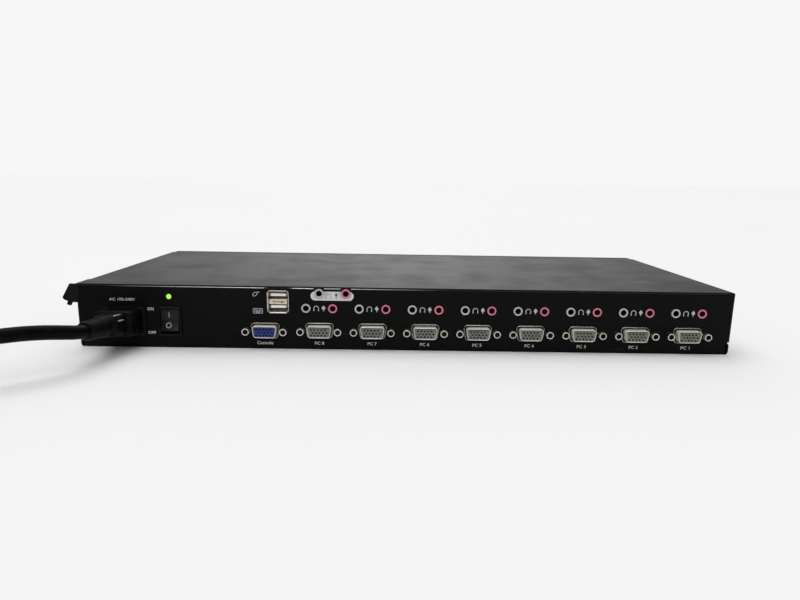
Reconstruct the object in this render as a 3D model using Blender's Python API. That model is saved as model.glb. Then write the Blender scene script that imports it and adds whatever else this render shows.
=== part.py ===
"""Eight-port rack KVM switch: steel case, rear connectors, rocker switch, front buttons and mains lead.

Units are metres. +Z is up, the rear panel with the connectors faces -Y and the front panel faces +Y.
The origin is on the standing surface, under the middle of the case.
"""

import math

import bmesh
import bpy
from mathutils import Vector

# Case
WIDTH = 0.4394
DEPTH = 0.181
HEIGHT = 0.043
SHEET = 0.0010
GAP = 0.0003
TRAY_BEND = 0.0020
COVER_BEND = 0.0012
WALL_BEND = 0.0010
REAR = -DEPTH / 2
FRONT = DEPTH / 2
FASCIA = 0.008
COVER_EDGE = 0.0086
JOGGLE_START = 0.0066
FLANGE = 0.011
CORNER_STEPS = 2
OVERLAP = 0.0005
PAST = 0.001
SMOOTH_ANGLE = math.radians(35)

# Countersunk screws that hold the cover
SCREW_Z = 0.024
SHANK_R = 0.00135
SHANK_LENGTH = 0.0050
HEAD_R = 0.0026
HEAD_SINK = 0.0001
SCREW_REAR_INSET = 0.025
SCREW_FRONT_INSET = 0.030

# Inner faces that several parts meet
SIDE_IN = WIDTH / 2 - SHEET - GAP
COVER_UNDER = HEIGHT - SHEET - GAP
WALL_IN = REAR + SHEET + GAP
FASCIA_BACK = FRONT - FASCIA

# Computer ports, numbered from the right
PORTS = 8
PORT_PITCH = 0.0356
PORT8_X = -0.0592
CONSOLE_X = -0.0956
VGA_Z = 0.0130
CONSOLE_Z = 0.0126
JACK_Z = 0.0283
JACK_DX = -0.0090
JACK_PAIR = 0.01787
CONSOLE_JACK_X = -0.0594
CONSOLE_JACK_Z = 0.0385

# 15-way video connector
SCREW_PITCH = 0.02499
SCREW_AF = 0.0048
SCREW_OUT = 0.0050
STEM_R = 0.0015
THREAD_R = 0.0014
THREAD_DEEP = 0.0030
FLANGE_W = 0.0306
FLANGE_H = 0.0124
FLANGE_T = 0.0008
FLANGE_CORNER = 0.0015
COLLAR_W = 0.0200
COLLAR_H = 0.0108
COLLAR_OUT = 0.0005
COLLAR_WALL = 0.0006
COLLAR_CORNER = 0.0024
GROOVE = 0.0012
SHELL_W = 0.0168
SHELL_H = 0.0080
SHELL_OUT = 0.0052
SHELL_WALL = 0.0004
SHELL_CORNER = 0.0018
SLANT = math.radians(10)
VGA_BACK = 0.0125

# 3.5 mm sockets
JACK_NOSE = 0.0061
JACK_BORE = 0.0036
JACK_OUT = 0.0006
JACK_DEEP = 0.0100
BORE_DEEP = 0.0075
JACK_BODY = 0.0098
JACK_SIDES = 12

# Double USB socket
USB_X = -0.0866
USB_Z = 0.0326
USB_W = 0.0134
USB_H = 0.0144
USB_WALL = 0.0005
USB_CORNER = 0.0006
USB_FLARE = 0.0007
USB_OUT = 0.0011
USB_DEEP = 0.0165
USB_ROOM = 0.0100
USB_BAR = 0.0032
USB_TONGUES = (-0.0045, 0.0036)
USB_TONGUE_T = 0.0018
USB_TONGUE_INSET = 0.0008

# Mains inlet, rocker switch and power lamp
INLET_X = -0.1890
INLET_Z = 0.0180
INLET_W = 0.0270
INLET_H = 0.0196
INLET_RIM = 0.0012
INLET_NECK = 0.0020
INLET_CORNER = 0.0010
INLET_DEEP = 0.0220
NOSE_W = 0.0222
NOSE_H = 0.0150
NOSE_DEEP = 0.0150
PIN_PITCH = 0.0070
SWITCH_X = -0.1589
SWITCH_Z = 0.0183
SWITCH_W = 0.0152
SWITCH_H = 0.0200
SWITCH_RIM = 0.0018
SWITCH_NECK = 0.0012
SWITCH_CORNER = 0.0010
SWITCH_DEEP = 0.0180
WELL_DEEP = 0.0085
WELL_ROOM = 0.0010
ROCKER_W = 0.0122
ROCKER_H = 0.0160
ROCKER_TILT = math.radians(9)
PIVOT_DEEP = 0.0012
LAMP_X = -0.1591
LAMP_Z = 0.0350
LAMP_R = 0.00215
LAMP_FOOT_R = 0.0029
LAMP_DEEP = 0.0080

# Section of the rocker: distance behind its pivot, share of half its height
ROCKER_PROFILE = (
    (-0.0034, 0.97),
    (-0.0026, 0.48),
    (-0.0022, 0.0),
    (-0.0026, -0.48),
    (-0.0034, -0.97),
    (0.0010, -0.90),
    (0.0050, -0.30),
    (0.0050, 0.30),
    (0.0010, 0.90),
)

# Boards and the parts on them
BOARD = 0.0016
BOARD_TOP = 0.0066
FOOT = 0.0060
MAIN_LEFT = -0.118
MAIN_RIGHT = 0.212
MAIN_FRONT = 0.060
CHIP = 0.020
CHIP_HEIGHT = 0.0022
CHIP_XS = (-0.04, 0.03, 0.10)
RISER_LOW = 0.0085
RISER_SETBACK = 0.0060
HEADER_LOW = 0.0240
HEADER_HIGH = 0.0300
PLUG_STRIP_HIGH = 0.0120
POWER_LEFT = -0.208
POWER_RIGHT = -0.128
POWER_BACK = -0.058
POWER_FRONT = 0.055
CAN_R = 0.009
CAN_HEIGHT = 0.024
CAN_SPOTS = ((-0.190, -0.040), (-0.190, 0.035))
TRANSFORMER_LOW = (-0.172, -0.020)
TRANSFORMER_HIGH = (-0.140, 0.014)
TRANSFORMER_TOP = 0.0326
RIBBON_LEFT = 0.030
RIBBON_RIGHT = 0.056
RIBBON_Z = 0.0150
RIBBON_T = 0.0010
RIBBON_END = 0.0060
RIBBON_INSET = 0.0040
LEADS_Z = 0.0120
LEADS_T = 0.0030
LEADS_FOOT = 0.0040
LEADS_Y = (0.030, 0.040)

# Front panel and its buttons
FASCIA_SKIN = 0.0025
FASCIA_RIM = 0.0040
FASCIA_CORNER = 0.0030
BUTTONS = 8
BUTTON_PITCH = 0.024
BUTTONS_X = 0.05
BUTTON_W = 0.0120
BUTTON_H = 0.0070
BUTTON_CORNER = 0.0012
BUTTON_CHAMFER = 0.0006
BUTTON_Z = 0.0215
BUTTON_OUT = 0.0022
BUTTON_COLLAR = 0.0010
STEM = 0.0040
BUTTON_BOARD_GAP = 0.0020
BUTTON_BOARD_H = 0.0180

# Hook for leads on the left side: how far out and how high each corner of its outline is
HOOK_T = 0.0014
HOOK_INSET = 0.0010
HOOK_LENGTH = 0.0200
HOOK_LOW = 0.0300
HOOK_TOP = 0.0425
HOOK_WING = ((0.0046, HOOK_TOP), (0.0099, 0.0332), (0.0090, 0.0318), (0.0066, 0.0308), (0.0074, 0.0285),
             (0.0051, 0.0277), (0.0038, HOOK_LOW))

# Mains lead
CORD_D = 0.0084
COIL_RADIUS = 0.0430
COIL_X = -0.3160
COIL_Y = -0.1523
COIL_LAYERS = 2
COIL_STEPS = 28
BLADE_DROP = 0.0020
BLADE_W = 0.0020
BLADE_H = 0.0040
PRONG_PITCH = 0.0127
PRONG_W = 0.0015
PRONG_H = 0.0064
PRONG_RISE = 0.0030
PRONG_LENGTH = 0.0180
EARTH_R = 0.0024
EARTH_DROP = 0.0050
EARTH_LENGTH = 0.0200

# Grip of the appliance plug: share of its length, width, height, corner radius
GRIP = (
    (0.00, 0.0245, 0.0168, 0.0020),
    (0.30, 0.0240, 0.0162, 0.0025),
    (0.30, 0.0170, 0.0145, 0.0030),
    (0.52, 0.0160, 0.0144, 0.0045),
    (0.55, 0.0140, 0.0140, 0.0065),
    (0.63, 0.0138, 0.0138, 0.0065),
    (0.66, 0.0128, 0.0128, 0.0060),
    (0.94, 0.0124, 0.0124, 0.0058),
    (1.00, 0.0110, 0.0110, 0.0052),
)

# Body of the wall plug: distance from its cord end, width, height, corner radius
WALL_BODY = (
    (0.000, 0.0100, 0.0100, 0.0048),
    (0.004, 0.0116, 0.0116, 0.0055),
    (0.024, 0.0134, 0.0134, 0.0062),
    (0.028, 0.0190, 0.0180, 0.0060),
    (0.046, 0.0240, 0.0220, 0.0050),
    (0.058, 0.0245, 0.0222, 0.0045),
    (0.060, 0.0225, 0.0205, 0.0040),
)

# Middle of the lead from the plug to the floor beside the coil
ROUTE = (
    (-0.1935, -0.1345, 0.0221),
    (-0.1942, -0.1411, 0.0231),
    (-0.1982, -0.1492, 0.0251),
    (-0.2060, -0.1574, 0.0270),
    (-0.2160, -0.1658, 0.0279),
    (-0.2262, -0.1735, 0.0275),
    (-0.2362, -0.1812, 0.0250),
    (-0.2470, -0.1886, 0.0203),
    (-0.2580, -0.1948, 0.0145),
    (-0.2680, -0.1996, 0.0090),
    (-0.2765, -0.2024, 0.0059),
    (-0.2845, -0.2037, 0.0045),
)


def clear_scene():
    for obj in list(bpy.data.objects):
        bpy.data.objects.remove(obj, do_unlink=True)


def material(name, colour, roughness, metallic=0.0):
    made = bpy.data.materials.new(name)
    made.use_nodes = True
    shader = made.node_tree.nodes["Principled BSDF"]
    shader.inputs["Base Color"].default_value = (*colour, 1.0)
    shader.inputs["Roughness"].default_value = roughness
    shader.inputs["Metallic"].default_value = metallic
    return made


def add(name, bm, mat, origin=(0.0, 0.0, 0.0), smooth=True):
    """Turns a bmesh in world coordinates into an object whose own origin is at origin."""
    bmesh.ops.recalc_face_normals(bm, faces=bm.faces)
    bmesh.ops.translate(bm, verts=bm.verts, vec=-Vector(origin))
    mesh = bpy.data.meshes.new(name)
    bm.to_mesh(mesh)
    bm.free()
    mesh.materials.append(mat)
    if smooth:
        mesh.shade_smooth()
        mesh.set_sharp_from_angle(angle=SMOOTH_ANGLE)
    obj = bpy.data.objects.new(name, mesh)
    obj.location = origin
    bpy.context.scene.collection.objects.link(obj)
    return obj


def join_bm(*parts):
    """Puts several bmeshes in one."""
    whole = bmesh.new()
    for part in parts:
        spare = bpy.data.meshes.new("spare")
        part.to_mesh(spare)
        part.free()
        whole.from_mesh(spare)
        bpy.data.meshes.remove(spare)
    return whole


def boolean(obj, tool_bm, operation):
    """Applies one exact Boolean with a temporary tool object."""
    tool = add("tool", tool_bm, obj.data.materials[0], smooth=False)
    step = obj.modifiers.new("step", "BOOLEAN")
    step.object = tool
    step.operation = operation
    graph = bpy.context.evaluated_depsgraph_get()
    result = bpy.data.meshes.new_from_object(obj.evaluated_get(graph))
    obj.modifiers.clear()
    obj.data = result
    bpy.data.objects.remove(tool, do_unlink=True)


def box(low, high):
    bm = bmesh.new()
    bmesh.ops.create_cube(bm, size=1.0)
    low, high = Vector(low), Vector(high)
    bmesh.ops.scale(bm, verts=bm.verts, vec=high - low)
    bmesh.ops.translate(bm, verts=bm.verts, vec=(low + high) / 2)
    return bm


def loft(rings):
    """A closed solid through rings that hold the same number of points, with flat ends."""
    bm = bmesh.new()
    rows = [[bm.verts.new(point) for point in ring] for ring in rings]
    for row, following in zip(rows, rows[1:]):
        for i, vert in enumerate(row):
            j = (i + 1) % len(row)
            bm.faces.new((vert, row[j], following[j], following[i]))
    bm.faces.new(rows[0])
    bm.faces.new(reversed(rows[-1]))
    return bm


def prism(outline, low, high, axis):
    """Extrudes an outline from low to high along X, Y or Z; its two numbers are the other two axes."""
    index = "XYZ".index(axis)

    def place(point, level):
        where = list(point)
        where.insert(index, level)
        return where

    return loft([[place(point, low) for point in outline], [place(point, high) for point in outline]])


def rounded(corners, radius, steps=CORNER_STEPS):
    """The outline of a polygon with each corner replaced by an arc."""
    points = []
    for i, corner in enumerate(corners):
        here = Vector(corner)
        before = (Vector(corners[i - 1]) - here).normalized()
        after = (Vector(corners[(i + 1) % len(corners)]) - here).normalized()
        half = before.angle(after) / 2
        middle = here + (before + after).normalized() * (radius / math.sin(half))
        start = here + before * (radius / math.tan(half)) - middle
        end = here + after * (radius / math.tan(half)) - middle
        for step in range(steps + 1):
            spoke = start.lerp(end, step / steps).normalized() * radius
            points.append(tuple(middle + spoke))
    return points


def rectangle(x, z, width, height, radius, steps=CORNER_STEPS):
    w, h = width / 2, height / 2
    corners = [(x - w, z - h), (x + w, z - h), (x + w, z + h), (x - w, z + h)]
    return rounded(corners, radius, steps)


def d_shape(x, z, width, height, radius):
    """The trapezoid outline of a D connector, wide side up; width is measured at the top."""
    w, h = width / 2, height / 2
    lower = w - height * math.tan(SLANT)
    corners = [(x - lower, z - h), (x + lower, z - h), (x + w, z + h), (x - w, z + h)]
    return rounded(corners, radius)


def circle(x, z, radius, count, turn=0.0):
    spokes = [turn + math.tau * i / count for i in range(count)]
    return [(x + radius * math.cos(a), z + radius * math.sin(a)) for a in spokes]


def at_y(outline, y):
    return [(x, y, z) for x, z in outline]


def port_x(port):
    """The middle of a computer port; port 1 is the rightmost."""
    return PORT8_X + (PORTS - port) * PORT_PITCH


def video_places():
    yield "console_video", CONSOLE_X, CONSOLE_Z
    for port in range(1, PORTS + 1):
        yield f"pc{port}_video", port_x(port), VGA_Z


def audio_places():
    yield "console", CONSOLE_JACK_X, CONSOLE_JACK_Z
    for port in range(1, PORTS + 1):
        yield f"pc{port}", port_x(port) + JACK_DX, JACK_Z


def screw_places():
    for y in (REAR + SCREW_REAR_INSET, FRONT - SCREW_FRONT_INSET):
        for side in (-1, 1):
            yield side, y


def open_slot(x, z, radius):
    """A round-bottomed slot that runs out through the top of the rear wall."""
    turns = [math.pi * (1 + step / 6) for step in range(7)]
    arc = [(x + radius * math.cos(a), z + radius * math.sin(a)) for a in turns]
    return arc + [(x + radius, COVER_UNDER + PAST), (x - radius, COVER_UNDER + PAST)]


def rear_cutters():
    """Every opening in the rear wall as one bmesh of separate prisms."""
    near, far = REAR - PAST, REAR + SHEET + 2 * PAST
    outlines = []
    for _, x, z in video_places():
        outlines.append(d_shape(x, z, COLLAR_W + 2 * GAP, COLLAR_H + 2 * GAP, COLLAR_CORNER + GAP))
        for side in (-1, 1):
            outlines.append(circle(x + side * SCREW_PITCH / 2, z, STEM_R + GAP, 12))
    for name, x, z in audio_places():
        for dx in (0.0, JACK_PAIR):
            hole = circle(x + dx, z, JACK_NOSE / 2 + GAP, JACK_SIDES)
            if name == "console":
                hole = open_slot(x + dx, z, JACK_NOSE / 2 + GAP)
            outlines.append(hole)
    outlines.append(rectangle(USB_X, USB_Z, USB_W + 2 * GAP, USB_H + 2 * GAP, USB_CORNER, 1))
    opening = 2 * GAP - INLET_NECK
    outlines.append(rectangle(INLET_X, INLET_Z, INLET_W + opening, INLET_H + opening, INLET_CORNER, 1))
    opening = 2 * GAP - SWITCH_NECK
    outlines.append(rectangle(SWITCH_X, SWITCH_Z, SWITCH_W + opening, SWITCH_H + opening, SWITCH_CORNER, 1))
    outlines.append(circle(LAMP_X, LAMP_Z, LAMP_R + GAP, 16))
    return join_bm(*(prism(outline, near, far, "Y") for outline in outlines))


def flange_notches():
    """Gaps in the rear wall's top flange over the tallest sockets."""
    spans = [(CONSOLE_JACK_X + dx, JACK_BODY / 2 + 2 * GAP) for dx in (0.0, JACK_PAIR)]
    spans.append((USB_X, USB_W / 2 + 2 * GAP))
    near, far = REAR + SHEET + GAP / 2, REAR + FLANGE + PAST
    low, high = COVER_UNDER - SHEET - PAST, COVER_UNDER + PAST
    return join_bm(*(box((x - half, near, low), (x + half, far, high)) for x, half in spans))


def base_tray(mat):
    """Bottom, joggled side flanges and rear wall, folded from one sheet."""
    w = WIDTH / 2
    half = [
        (w - TRAY_BEND, 0.0),
        (w - TRAY_BEND / 2, TRAY_BEND * 0.134),
        (w - TRAY_BEND * 0.134, TRAY_BEND / 2),
        (w, TRAY_BEND),
        (w, JOGGLE_START),
        (SIDE_IN, COVER_EDGE - GAP),
        (SIDE_IN, COVER_UNDER),
        (SIDE_IN - SHEET, COVER_UNDER),
        (SIDE_IN - SHEET, COVER_EDGE - GAP),
        (w - SHEET, JOGGLE_START - SHEET / 2),
        (w - SHEET, SHEET),
    ]
    outline = half + [(-x, z) for x, z in reversed(half)]
    tray = add("base_tray", prism(outline, REAR, FASCIA_BACK - GAP, "Y"), mat)
    top = COVER_UNDER
    wall = [(REAR, 0.0), (REAR, top - WALL_BEND)]
    for step in range(1, 4):
        turn = math.radians(30 * step)
        wall.append((REAR + WALL_BEND * (1 - math.cos(turn)), top - WALL_BEND * (1 - math.sin(turn))))
    wall += [(REAR + FLANGE, top), (REAR + FLANGE, top - SHEET), (REAR + SHEET, top - SHEET)]
    wall.append((REAR + SHEET, 0.0))
    reach = WIDTH / 2 - TRAY_BEND - GAP
    boolean(tray, prism(wall, -reach, reach, "X"), "UNION")
    boolean(tray, flange_notches(), "DIFFERENCE")
    boolean(tray, rear_cutters(), "DIFFERENCE")
    holes = [
        prism(circle(y, SCREW_Z, SHANK_R + GAP, 12), side * (w - SHANK_LENGTH), side * (w + PAST), "X")
        for side, y in screw_places()
    ]
    boolean(tray, join_bm(*holes), "DIFFERENCE")
    return tray


def top_cover(mat):
    """Top and both sides, folded from one sheet."""
    w = WIDTH / 2
    turns = [math.radians(30 * step) for step in range(4)]
    arc = [(w - COVER_BEND * (1 - math.sin(a)), HEIGHT - COVER_BEND * (1 - math.cos(a))) for a in turns]
    half = arc + [(w, COVER_EDGE), (w - SHEET, COVER_EDGE), (w - SHEET, HEIGHT - SHEET)]
    outline = [(-x, z) for x, z in half] + list(reversed(half))
    cover = add("top_cover", prism(outline, REAR, FASCIA_BACK - GAP, "Y"), mat)
    wide, narrow = HEAD_R + 2 * GAP, HEAD_R + 2 * GAP - SHEET
    holes = []
    for side, y in screw_places():
        levels = ((w - 2 * SHEET, narrow - SHEET), (w + SHEET, wide + SHEET))
        holes.append(loft([[(side * x, a, b) for a, b in circle(y, SCREW_Z, r, 16)] for x, r in levels]))
    boolean(cover, join_bm(*holes), "DIFFERENCE")
    return cover


def cover_screws(mat):
    """Countersunk screws, flush with the cover's sides, whose shanks pass through the tray's flanges."""
    face = WIDTH / 2 - HEAD_SINK
    levels = ((face - SHANK_LENGTH, SHANK_R), (face - HEAD_R + SHANK_R, SHANK_R), (face, HEAD_R))
    for index, (side, y) in enumerate(screw_places(), 1):
        rings = [[(side * x, a, b) for a, b in circle(y, SCREW_Z, r, 16)] for x, r in levels]
        add(f"cover_screw_{index}", loft(rings), mat)


def button_x(index):
    return (index - (BUTTONS - 1) / 2) * BUTTON_PITCH + BUTTONS_X


def front_panel(mat):
    """Moulded fascia with eight button openings."""
    outline = rectangle(0, HEIGHT / 2 + GAP / 2, WIDTH, HEIGHT - GAP, FASCIA_CORNER)
    panel = add("front_panel", prism(outline, FASCIA_BACK, FRONT, "Y"), mat)
    reach = WIDTH / 2 - FASCIA_RIM
    low = (-reach, FASCIA_BACK - OVERLAP, FASCIA_RIM)
    high = (reach, FRONT - FASCIA_SKIN, HEIGHT - FASCIA_RIM)
    boolean(panel, box(low, high), "DIFFERENCE")
    openings = []
    for index in range(BUTTONS):
        x = button_x(index)
        hole = rectangle(x, BUTTON_Z, BUTTON_W + 2 * GAP, BUTTON_H + 2 * GAP, BUTTON_CORNER)
        openings.append(prism(hole, FRONT - FASCIA_SKIN - OVERLAP, FRONT + OVERLAP, "Y"))
    boolean(panel, join_bm(*openings), "DIFFERENCE")
    return panel


def front_buttons(mat):
    """Caps that slide towards -Y, each with a retaining collar behind the fascia and a stem."""
    behind = FRONT - FASCIA_SKIN - GAP
    face = FRONT + BUTTON_OUT
    for index in range(BUTTONS):
        x = button_x(index)
        stem = rectangle(x, BUTTON_Z, STEM, STEM, STEM / 5)
        collar, cap, top = (
            rectangle(x, BUTTON_Z, BUTTON_W + 2 * wider, BUTTON_H + 2 * wider, BUTTON_CORNER)
            for wider in (BUTTON_COLLAR, 0.0, -BUTTON_CHAMFER)
        )
        rings = [
            at_y(stem, behind - STEM),
            at_y(stem, behind - BUTTON_COLLAR),
            at_y(collar, behind - BUTTON_COLLAR),
            at_y(collar, behind),
            at_y(cap, behind),
            at_y(cap, face - BUTTON_CHAMFER),
            at_y(top, face),
        ]
        add(f"button_{index + 1}", loft(rings), mat, origin=(x, FRONT, BUTTON_Z))


def cord_hook(mat):
    """Folded bracket on the left side whose wing and lug hold a lead."""
    side = -WIDTH / 2 - GAP
    wing = [(side, HOOK_TOP)] + [(side - out, z) for out, z in HOOK_WING] + [(side, HOOK_LOW)]
    near = REAR + HOOK_INSET
    hook = add("cord_hook", prism(wing, near, near + HOOK_T, "Y"), mat, smooth=False)
    plate = box((side - HOOK_T, near + OVERLAP, HOOK_LOW), (side, REAR + HOOK_LENGTH, HOOK_TOP))
    boolean(hook, plate, "UNION")


def video_connectors(mat):
    """Metal flange and D shell around the socket block, with two hexagonal jackscrews in front."""
    flange_y = WALL_IN + FLANGE_T
    for name, x, z in video_places():
        collar, inner = (
            d_shape(x, z, COLLAR_W - 2 * wall, COLLAR_H - 2 * wall, COLLAR_CORNER - wall)
            for wall in (0.0, COLLAR_WALL)
        )
        shell, socket = (
            d_shape(x, z, SHELL_W - 2 * wall, SHELL_H - 2 * wall, SHELL_CORNER - wall)
            for wall in (0.0, SHELL_WALL)
        )
        flange = rectangle(x, z, FLANGE_W, FLANGE_H, FLANGE_CORNER)
        block = rectangle(x, z, COLLAR_W, FLANGE_H - FLANGE_T, SHEET)
        rings = [
            at_y(block, flange_y + VGA_BACK),
            at_y(block, flange_y),
            at_y(flange, flange_y),
            at_y(flange, WALL_IN),
            at_y(collar, WALL_IN),
            at_y(collar, REAR - COLLAR_OUT),
            at_y(inner, REAR - COLLAR_OUT),
            at_y(inner, REAR + GROOVE),
            at_y(shell, REAR + GROOVE),
            at_y(shell, REAR - SHELL_OUT),
            at_y(socket, REAR - SHELL_OUT),
            at_y(socket, REAR - SHELL_OUT + SHELL_WALL),
        ]
        body = add(name, loft(rings), mat)
        for side in (-1, 1):
            sx = x + side * SCREW_PITCH / 2
            hexagon = circle(sx, z, SCREW_AF / math.sqrt(3), 6)
            thread = circle(sx, z, THREAD_R, 6)
            stem = circle(sx, z, STEM_R, 6)
            screw = [
                at_y(stem, flange_y + PAST),
                at_y(stem, REAR - GAP),
                at_y(hexagon, REAR - GAP),
                at_y(hexagon, REAR - SCREW_OUT),
                at_y(thread, REAR - SCREW_OUT),
                at_y(thread, REAR - SCREW_OUT + THREAD_DEEP),
            ]
            boolean(body, loft(screw), "UNION")


def audio_jacks(mat_green, mat_pink):
    """Round nose with its bore, through the wall, on a square body behind it."""
    for name, x, z in audio_places():
        for word, dx, mat in (("out", 0.0, mat_green), ("mic", JACK_PAIR, mat_pink)):
            turn = math.tau / JACK_SIDES / 2
            nose = circle(x + dx, z, JACK_NOSE / 2, JACK_SIDES, turn)
            bore = circle(x + dx, z, JACK_BORE / 2, JACK_SIDES, turn)
            half = JACK_BODY / 2
            square = []
            for px, pz in circle(0.0, 0.0, 1.0, JACK_SIDES, turn):
                reach = half / max(abs(px), abs(pz))
                square.append((x + dx + px * reach, min(z + pz * reach, COVER_UNDER)))
            rings = [
                at_y(square, WALL_IN + JACK_DEEP),
                at_y(square, WALL_IN),
                at_y(nose, WALL_IN),
                at_y(nose, REAR - JACK_OUT),
                at_y(bore, REAR - JACK_OUT),
                at_y(bore, REAR + BORE_DEEP),
            ]
            add(f"{name}_audio_{word}", loft(rings), mat)


def usb_sockets(mat_shell, mat_block):
    """Pressed shell with flared lips, and the moulded block with two tongues inside it."""
    back = REAR + USB_DEEP
    outer, inner, flare, lip = (
        rectangle(USB_X, USB_Z, USB_W + 2 * wider, USB_H + 2 * wider, USB_CORNER, 1)
        for wider in (0.0, -USB_WALL, USB_FLARE, USB_FLARE - USB_WALL)
    )
    rings = [
        at_y(outer, back),
        at_y(outer, REAR - USB_OUT + USB_FLARE),
        at_y(flare, REAR - USB_OUT),
        at_y(lip, REAR - USB_OUT - GAP / 3),
        at_y(inner, REAR - USB_OUT + USB_FLARE + GAP / 2),
        at_y(inner, back - USB_WALL),
    ]
    add("usb_shell", loft(rings), mat_shell)
    w = USB_W / 2 - USB_WALL - GAP
    h = USB_H / 2 - USB_WALL - GAP
    stop = back - USB_WALL - GAP
    rear = box((USB_X - w, REAR + USB_ROOM, USB_Z - h), (USB_X + w, stop, USB_Z + h))
    block = add("usb_block", rear, mat_block)
    near, far = REAR + OVERLAP, REAR + USB_ROOM + OVERLAP
    bar = box((USB_X - w, near, USB_Z - USB_BAR / 2), (USB_X + w, far, USB_Z + USB_BAR / 2))
    boolean(block, bar, "UNION")
    half = w - USB_TONGUE_INSET
    for low in USB_TONGUES:
        tongue = box((USB_X - half, near + GAP, USB_Z + low), (USB_X + half, far, USB_Z + low + USB_TONGUE_T))
        boolean(block, tongue, "UNION")


def mains_inlet(mat):
    """Three-pin appliance inlet: rim outside the wall, body through it, cavity with three blades."""
    rim = rectangle(INLET_X, INLET_Z, INLET_W, INLET_H, INLET_CORNER)
    neck = rectangle(INLET_X, INLET_Z, INLET_W - INLET_NECK, INLET_H - INLET_NECK, INLET_CORNER)
    cavity = rectangle(INLET_X, INLET_Z, NOSE_W + 2 * GAP, NOSE_H + 2 * GAP, INLET_CORNER)
    rings = [
        at_y(neck, REAR + INLET_DEEP),
        at_y(neck, REAR - GAP),
        at_y(rim, REAR - GAP),
        at_y(rim, REAR - INLET_RIM),
        at_y(cavity, REAR - INLET_RIM),
        at_y(cavity, REAR + NOSE_DEEP),
    ]
    inlet = add("mains_inlet", loft(rings), mat)
    for x, z in pin_places():
        low = (x - BLADE_W / 2, REAR + SHEET + OVERLAP, z - BLADE_H / 2)
        high = (x + BLADE_W / 2, REAR + NOSE_DEEP + 2 * SHEET, z + BLADE_H / 2)
        boolean(inlet, box(low, high), "UNION")


def rocker_switch(mat_frame, mat_rocker):
    """Snap-in frame and the rocker that tips in it; the upper end is pressed in at rest, which is on."""
    rim = rectangle(SWITCH_X, SWITCH_Z, SWITCH_W, SWITCH_H, SWITCH_CORNER)
    neck = rectangle(SWITCH_X, SWITCH_Z, SWITCH_W - SWITCH_NECK, SWITCH_H - SWITCH_NECK, SWITCH_CORNER)
    well = rectangle(SWITCH_X, SWITCH_Z, ROCKER_W + WELL_ROOM, ROCKER_H + WELL_ROOM, SWITCH_CORNER)
    rings = [
        at_y(neck, REAR + SWITCH_DEEP),
        at_y(neck, REAR - GAP),
        at_y(rim, REAR - GAP),
        at_y(rim, REAR - SWITCH_RIM),
        at_y(well, REAR - SWITCH_RIM),
        at_y(well, REAR + WELL_DEEP),
    ]
    add("rocker_frame", loft(rings), mat_frame)
    half = ROCKER_H / 2
    pivot = Vector((SWITCH_X, REAR + PIVOT_DEEP, SWITCH_Z))
    cos, sin = math.cos(ROCKER_TILT), math.sin(ROCKER_TILT)
    turned = []
    for y, share in ROCKER_PROFILE:
        z = share * half
        turned.append((pivot.y + y * cos + z * sin, pivot.z + z * cos - y * sin))
    rocker = prism(turned, SWITCH_X - ROCKER_W / 2, SWITCH_X + ROCKER_W / 2, "X")
    add("rocker", rocker, mat_rocker, origin=pivot, smooth=False)


def power_lamp(mat):
    """Domed lamp in the rear wall, with a wider foot behind it."""
    foot = WALL_IN + OVERLAP
    levels = [(REAR + LAMP_DEEP, LAMP_FOOT_R), (foot, LAMP_FOOT_R), (foot, LAMP_R), (REAR, LAMP_R)]
    levels += [(REAR - LAMP_R * 0.28, LAMP_R * 0.85), (REAR - LAMP_R * 0.45, LAMP_R * 0.45)]
    add("power_lamp", loft([at_y(circle(LAMP_X, LAMP_Z, r, 16), y) for y, r in levels]), mat)


def feet(board, xs, ys):
    """Joins square standoffs to the underside of a board."""
    half = FOOT / 2
    for x in xs:
        for y in ys:
            low = (x - half, y - half, SHEET + GAP)
            high = (x + half, y + half, BOARD_TOP - BOARD + OVERLAP)
            boolean(board, box(low, high), "UNION")


def main_board(mat):
    """The board under the connectors, on standoffs, with its three largest chips."""
    back = WALL_IN + FLANGE_T + OVERLAP
    low = (MAIN_LEFT, back, BOARD_TOP - BOARD)
    main = add("main_board", box(low, (MAIN_RIGHT, MAIN_FRONT, BOARD_TOP)), mat)
    xs = (MAIN_LEFT + 2 * FOOT, (MAIN_LEFT + MAIN_RIGHT) / 2, MAIN_RIGHT - 2 * FOOT)
    feet(main, xs, (back + 5 * FOOT, MAIN_FRONT - 1.5 * FOOT))
    for x in CHIP_XS:
        low = (x - CHIP / 2, -CHIP, BOARD_TOP - OVERLAP)
        boolean(main, box(low, (x + CHIP / 2, 0.0, BOARD_TOP + CHIP_HEIGHT)), "UNION")


def audio_board(mat):
    """Upright board behind the sockets, with a header on its rear face and a plug strip on its front one."""
    left, right = PORT8_X - JACK_DEEP - RISER_SETBACK, MAIN_RIGHT - SHEET - OVERLAP
    jacks = WALL_IN + JACK_DEEP + GAP
    near = jacks + RISER_SETBACK
    riser = box((left, near, RISER_LOW), (right, near + BOARD, COVER_UNDER - 2 * SHEET))
    audio = add("audio_board", riser, mat)
    inset = 2 * SHEET
    header = box((left + inset, jacks + OVERLAP, HEADER_LOW), (right - inset, near + OVERLAP, HEADER_HIGH))
    boolean(audio, header, "UNION")
    far = near + 2.5 * BOARD
    strip = box((left + inset, near + OVERLAP, BOARD_TOP + GAP), (right - inset, far, PLUG_STRIP_HIGH))
    boolean(audio, strip, "UNION")


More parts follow.
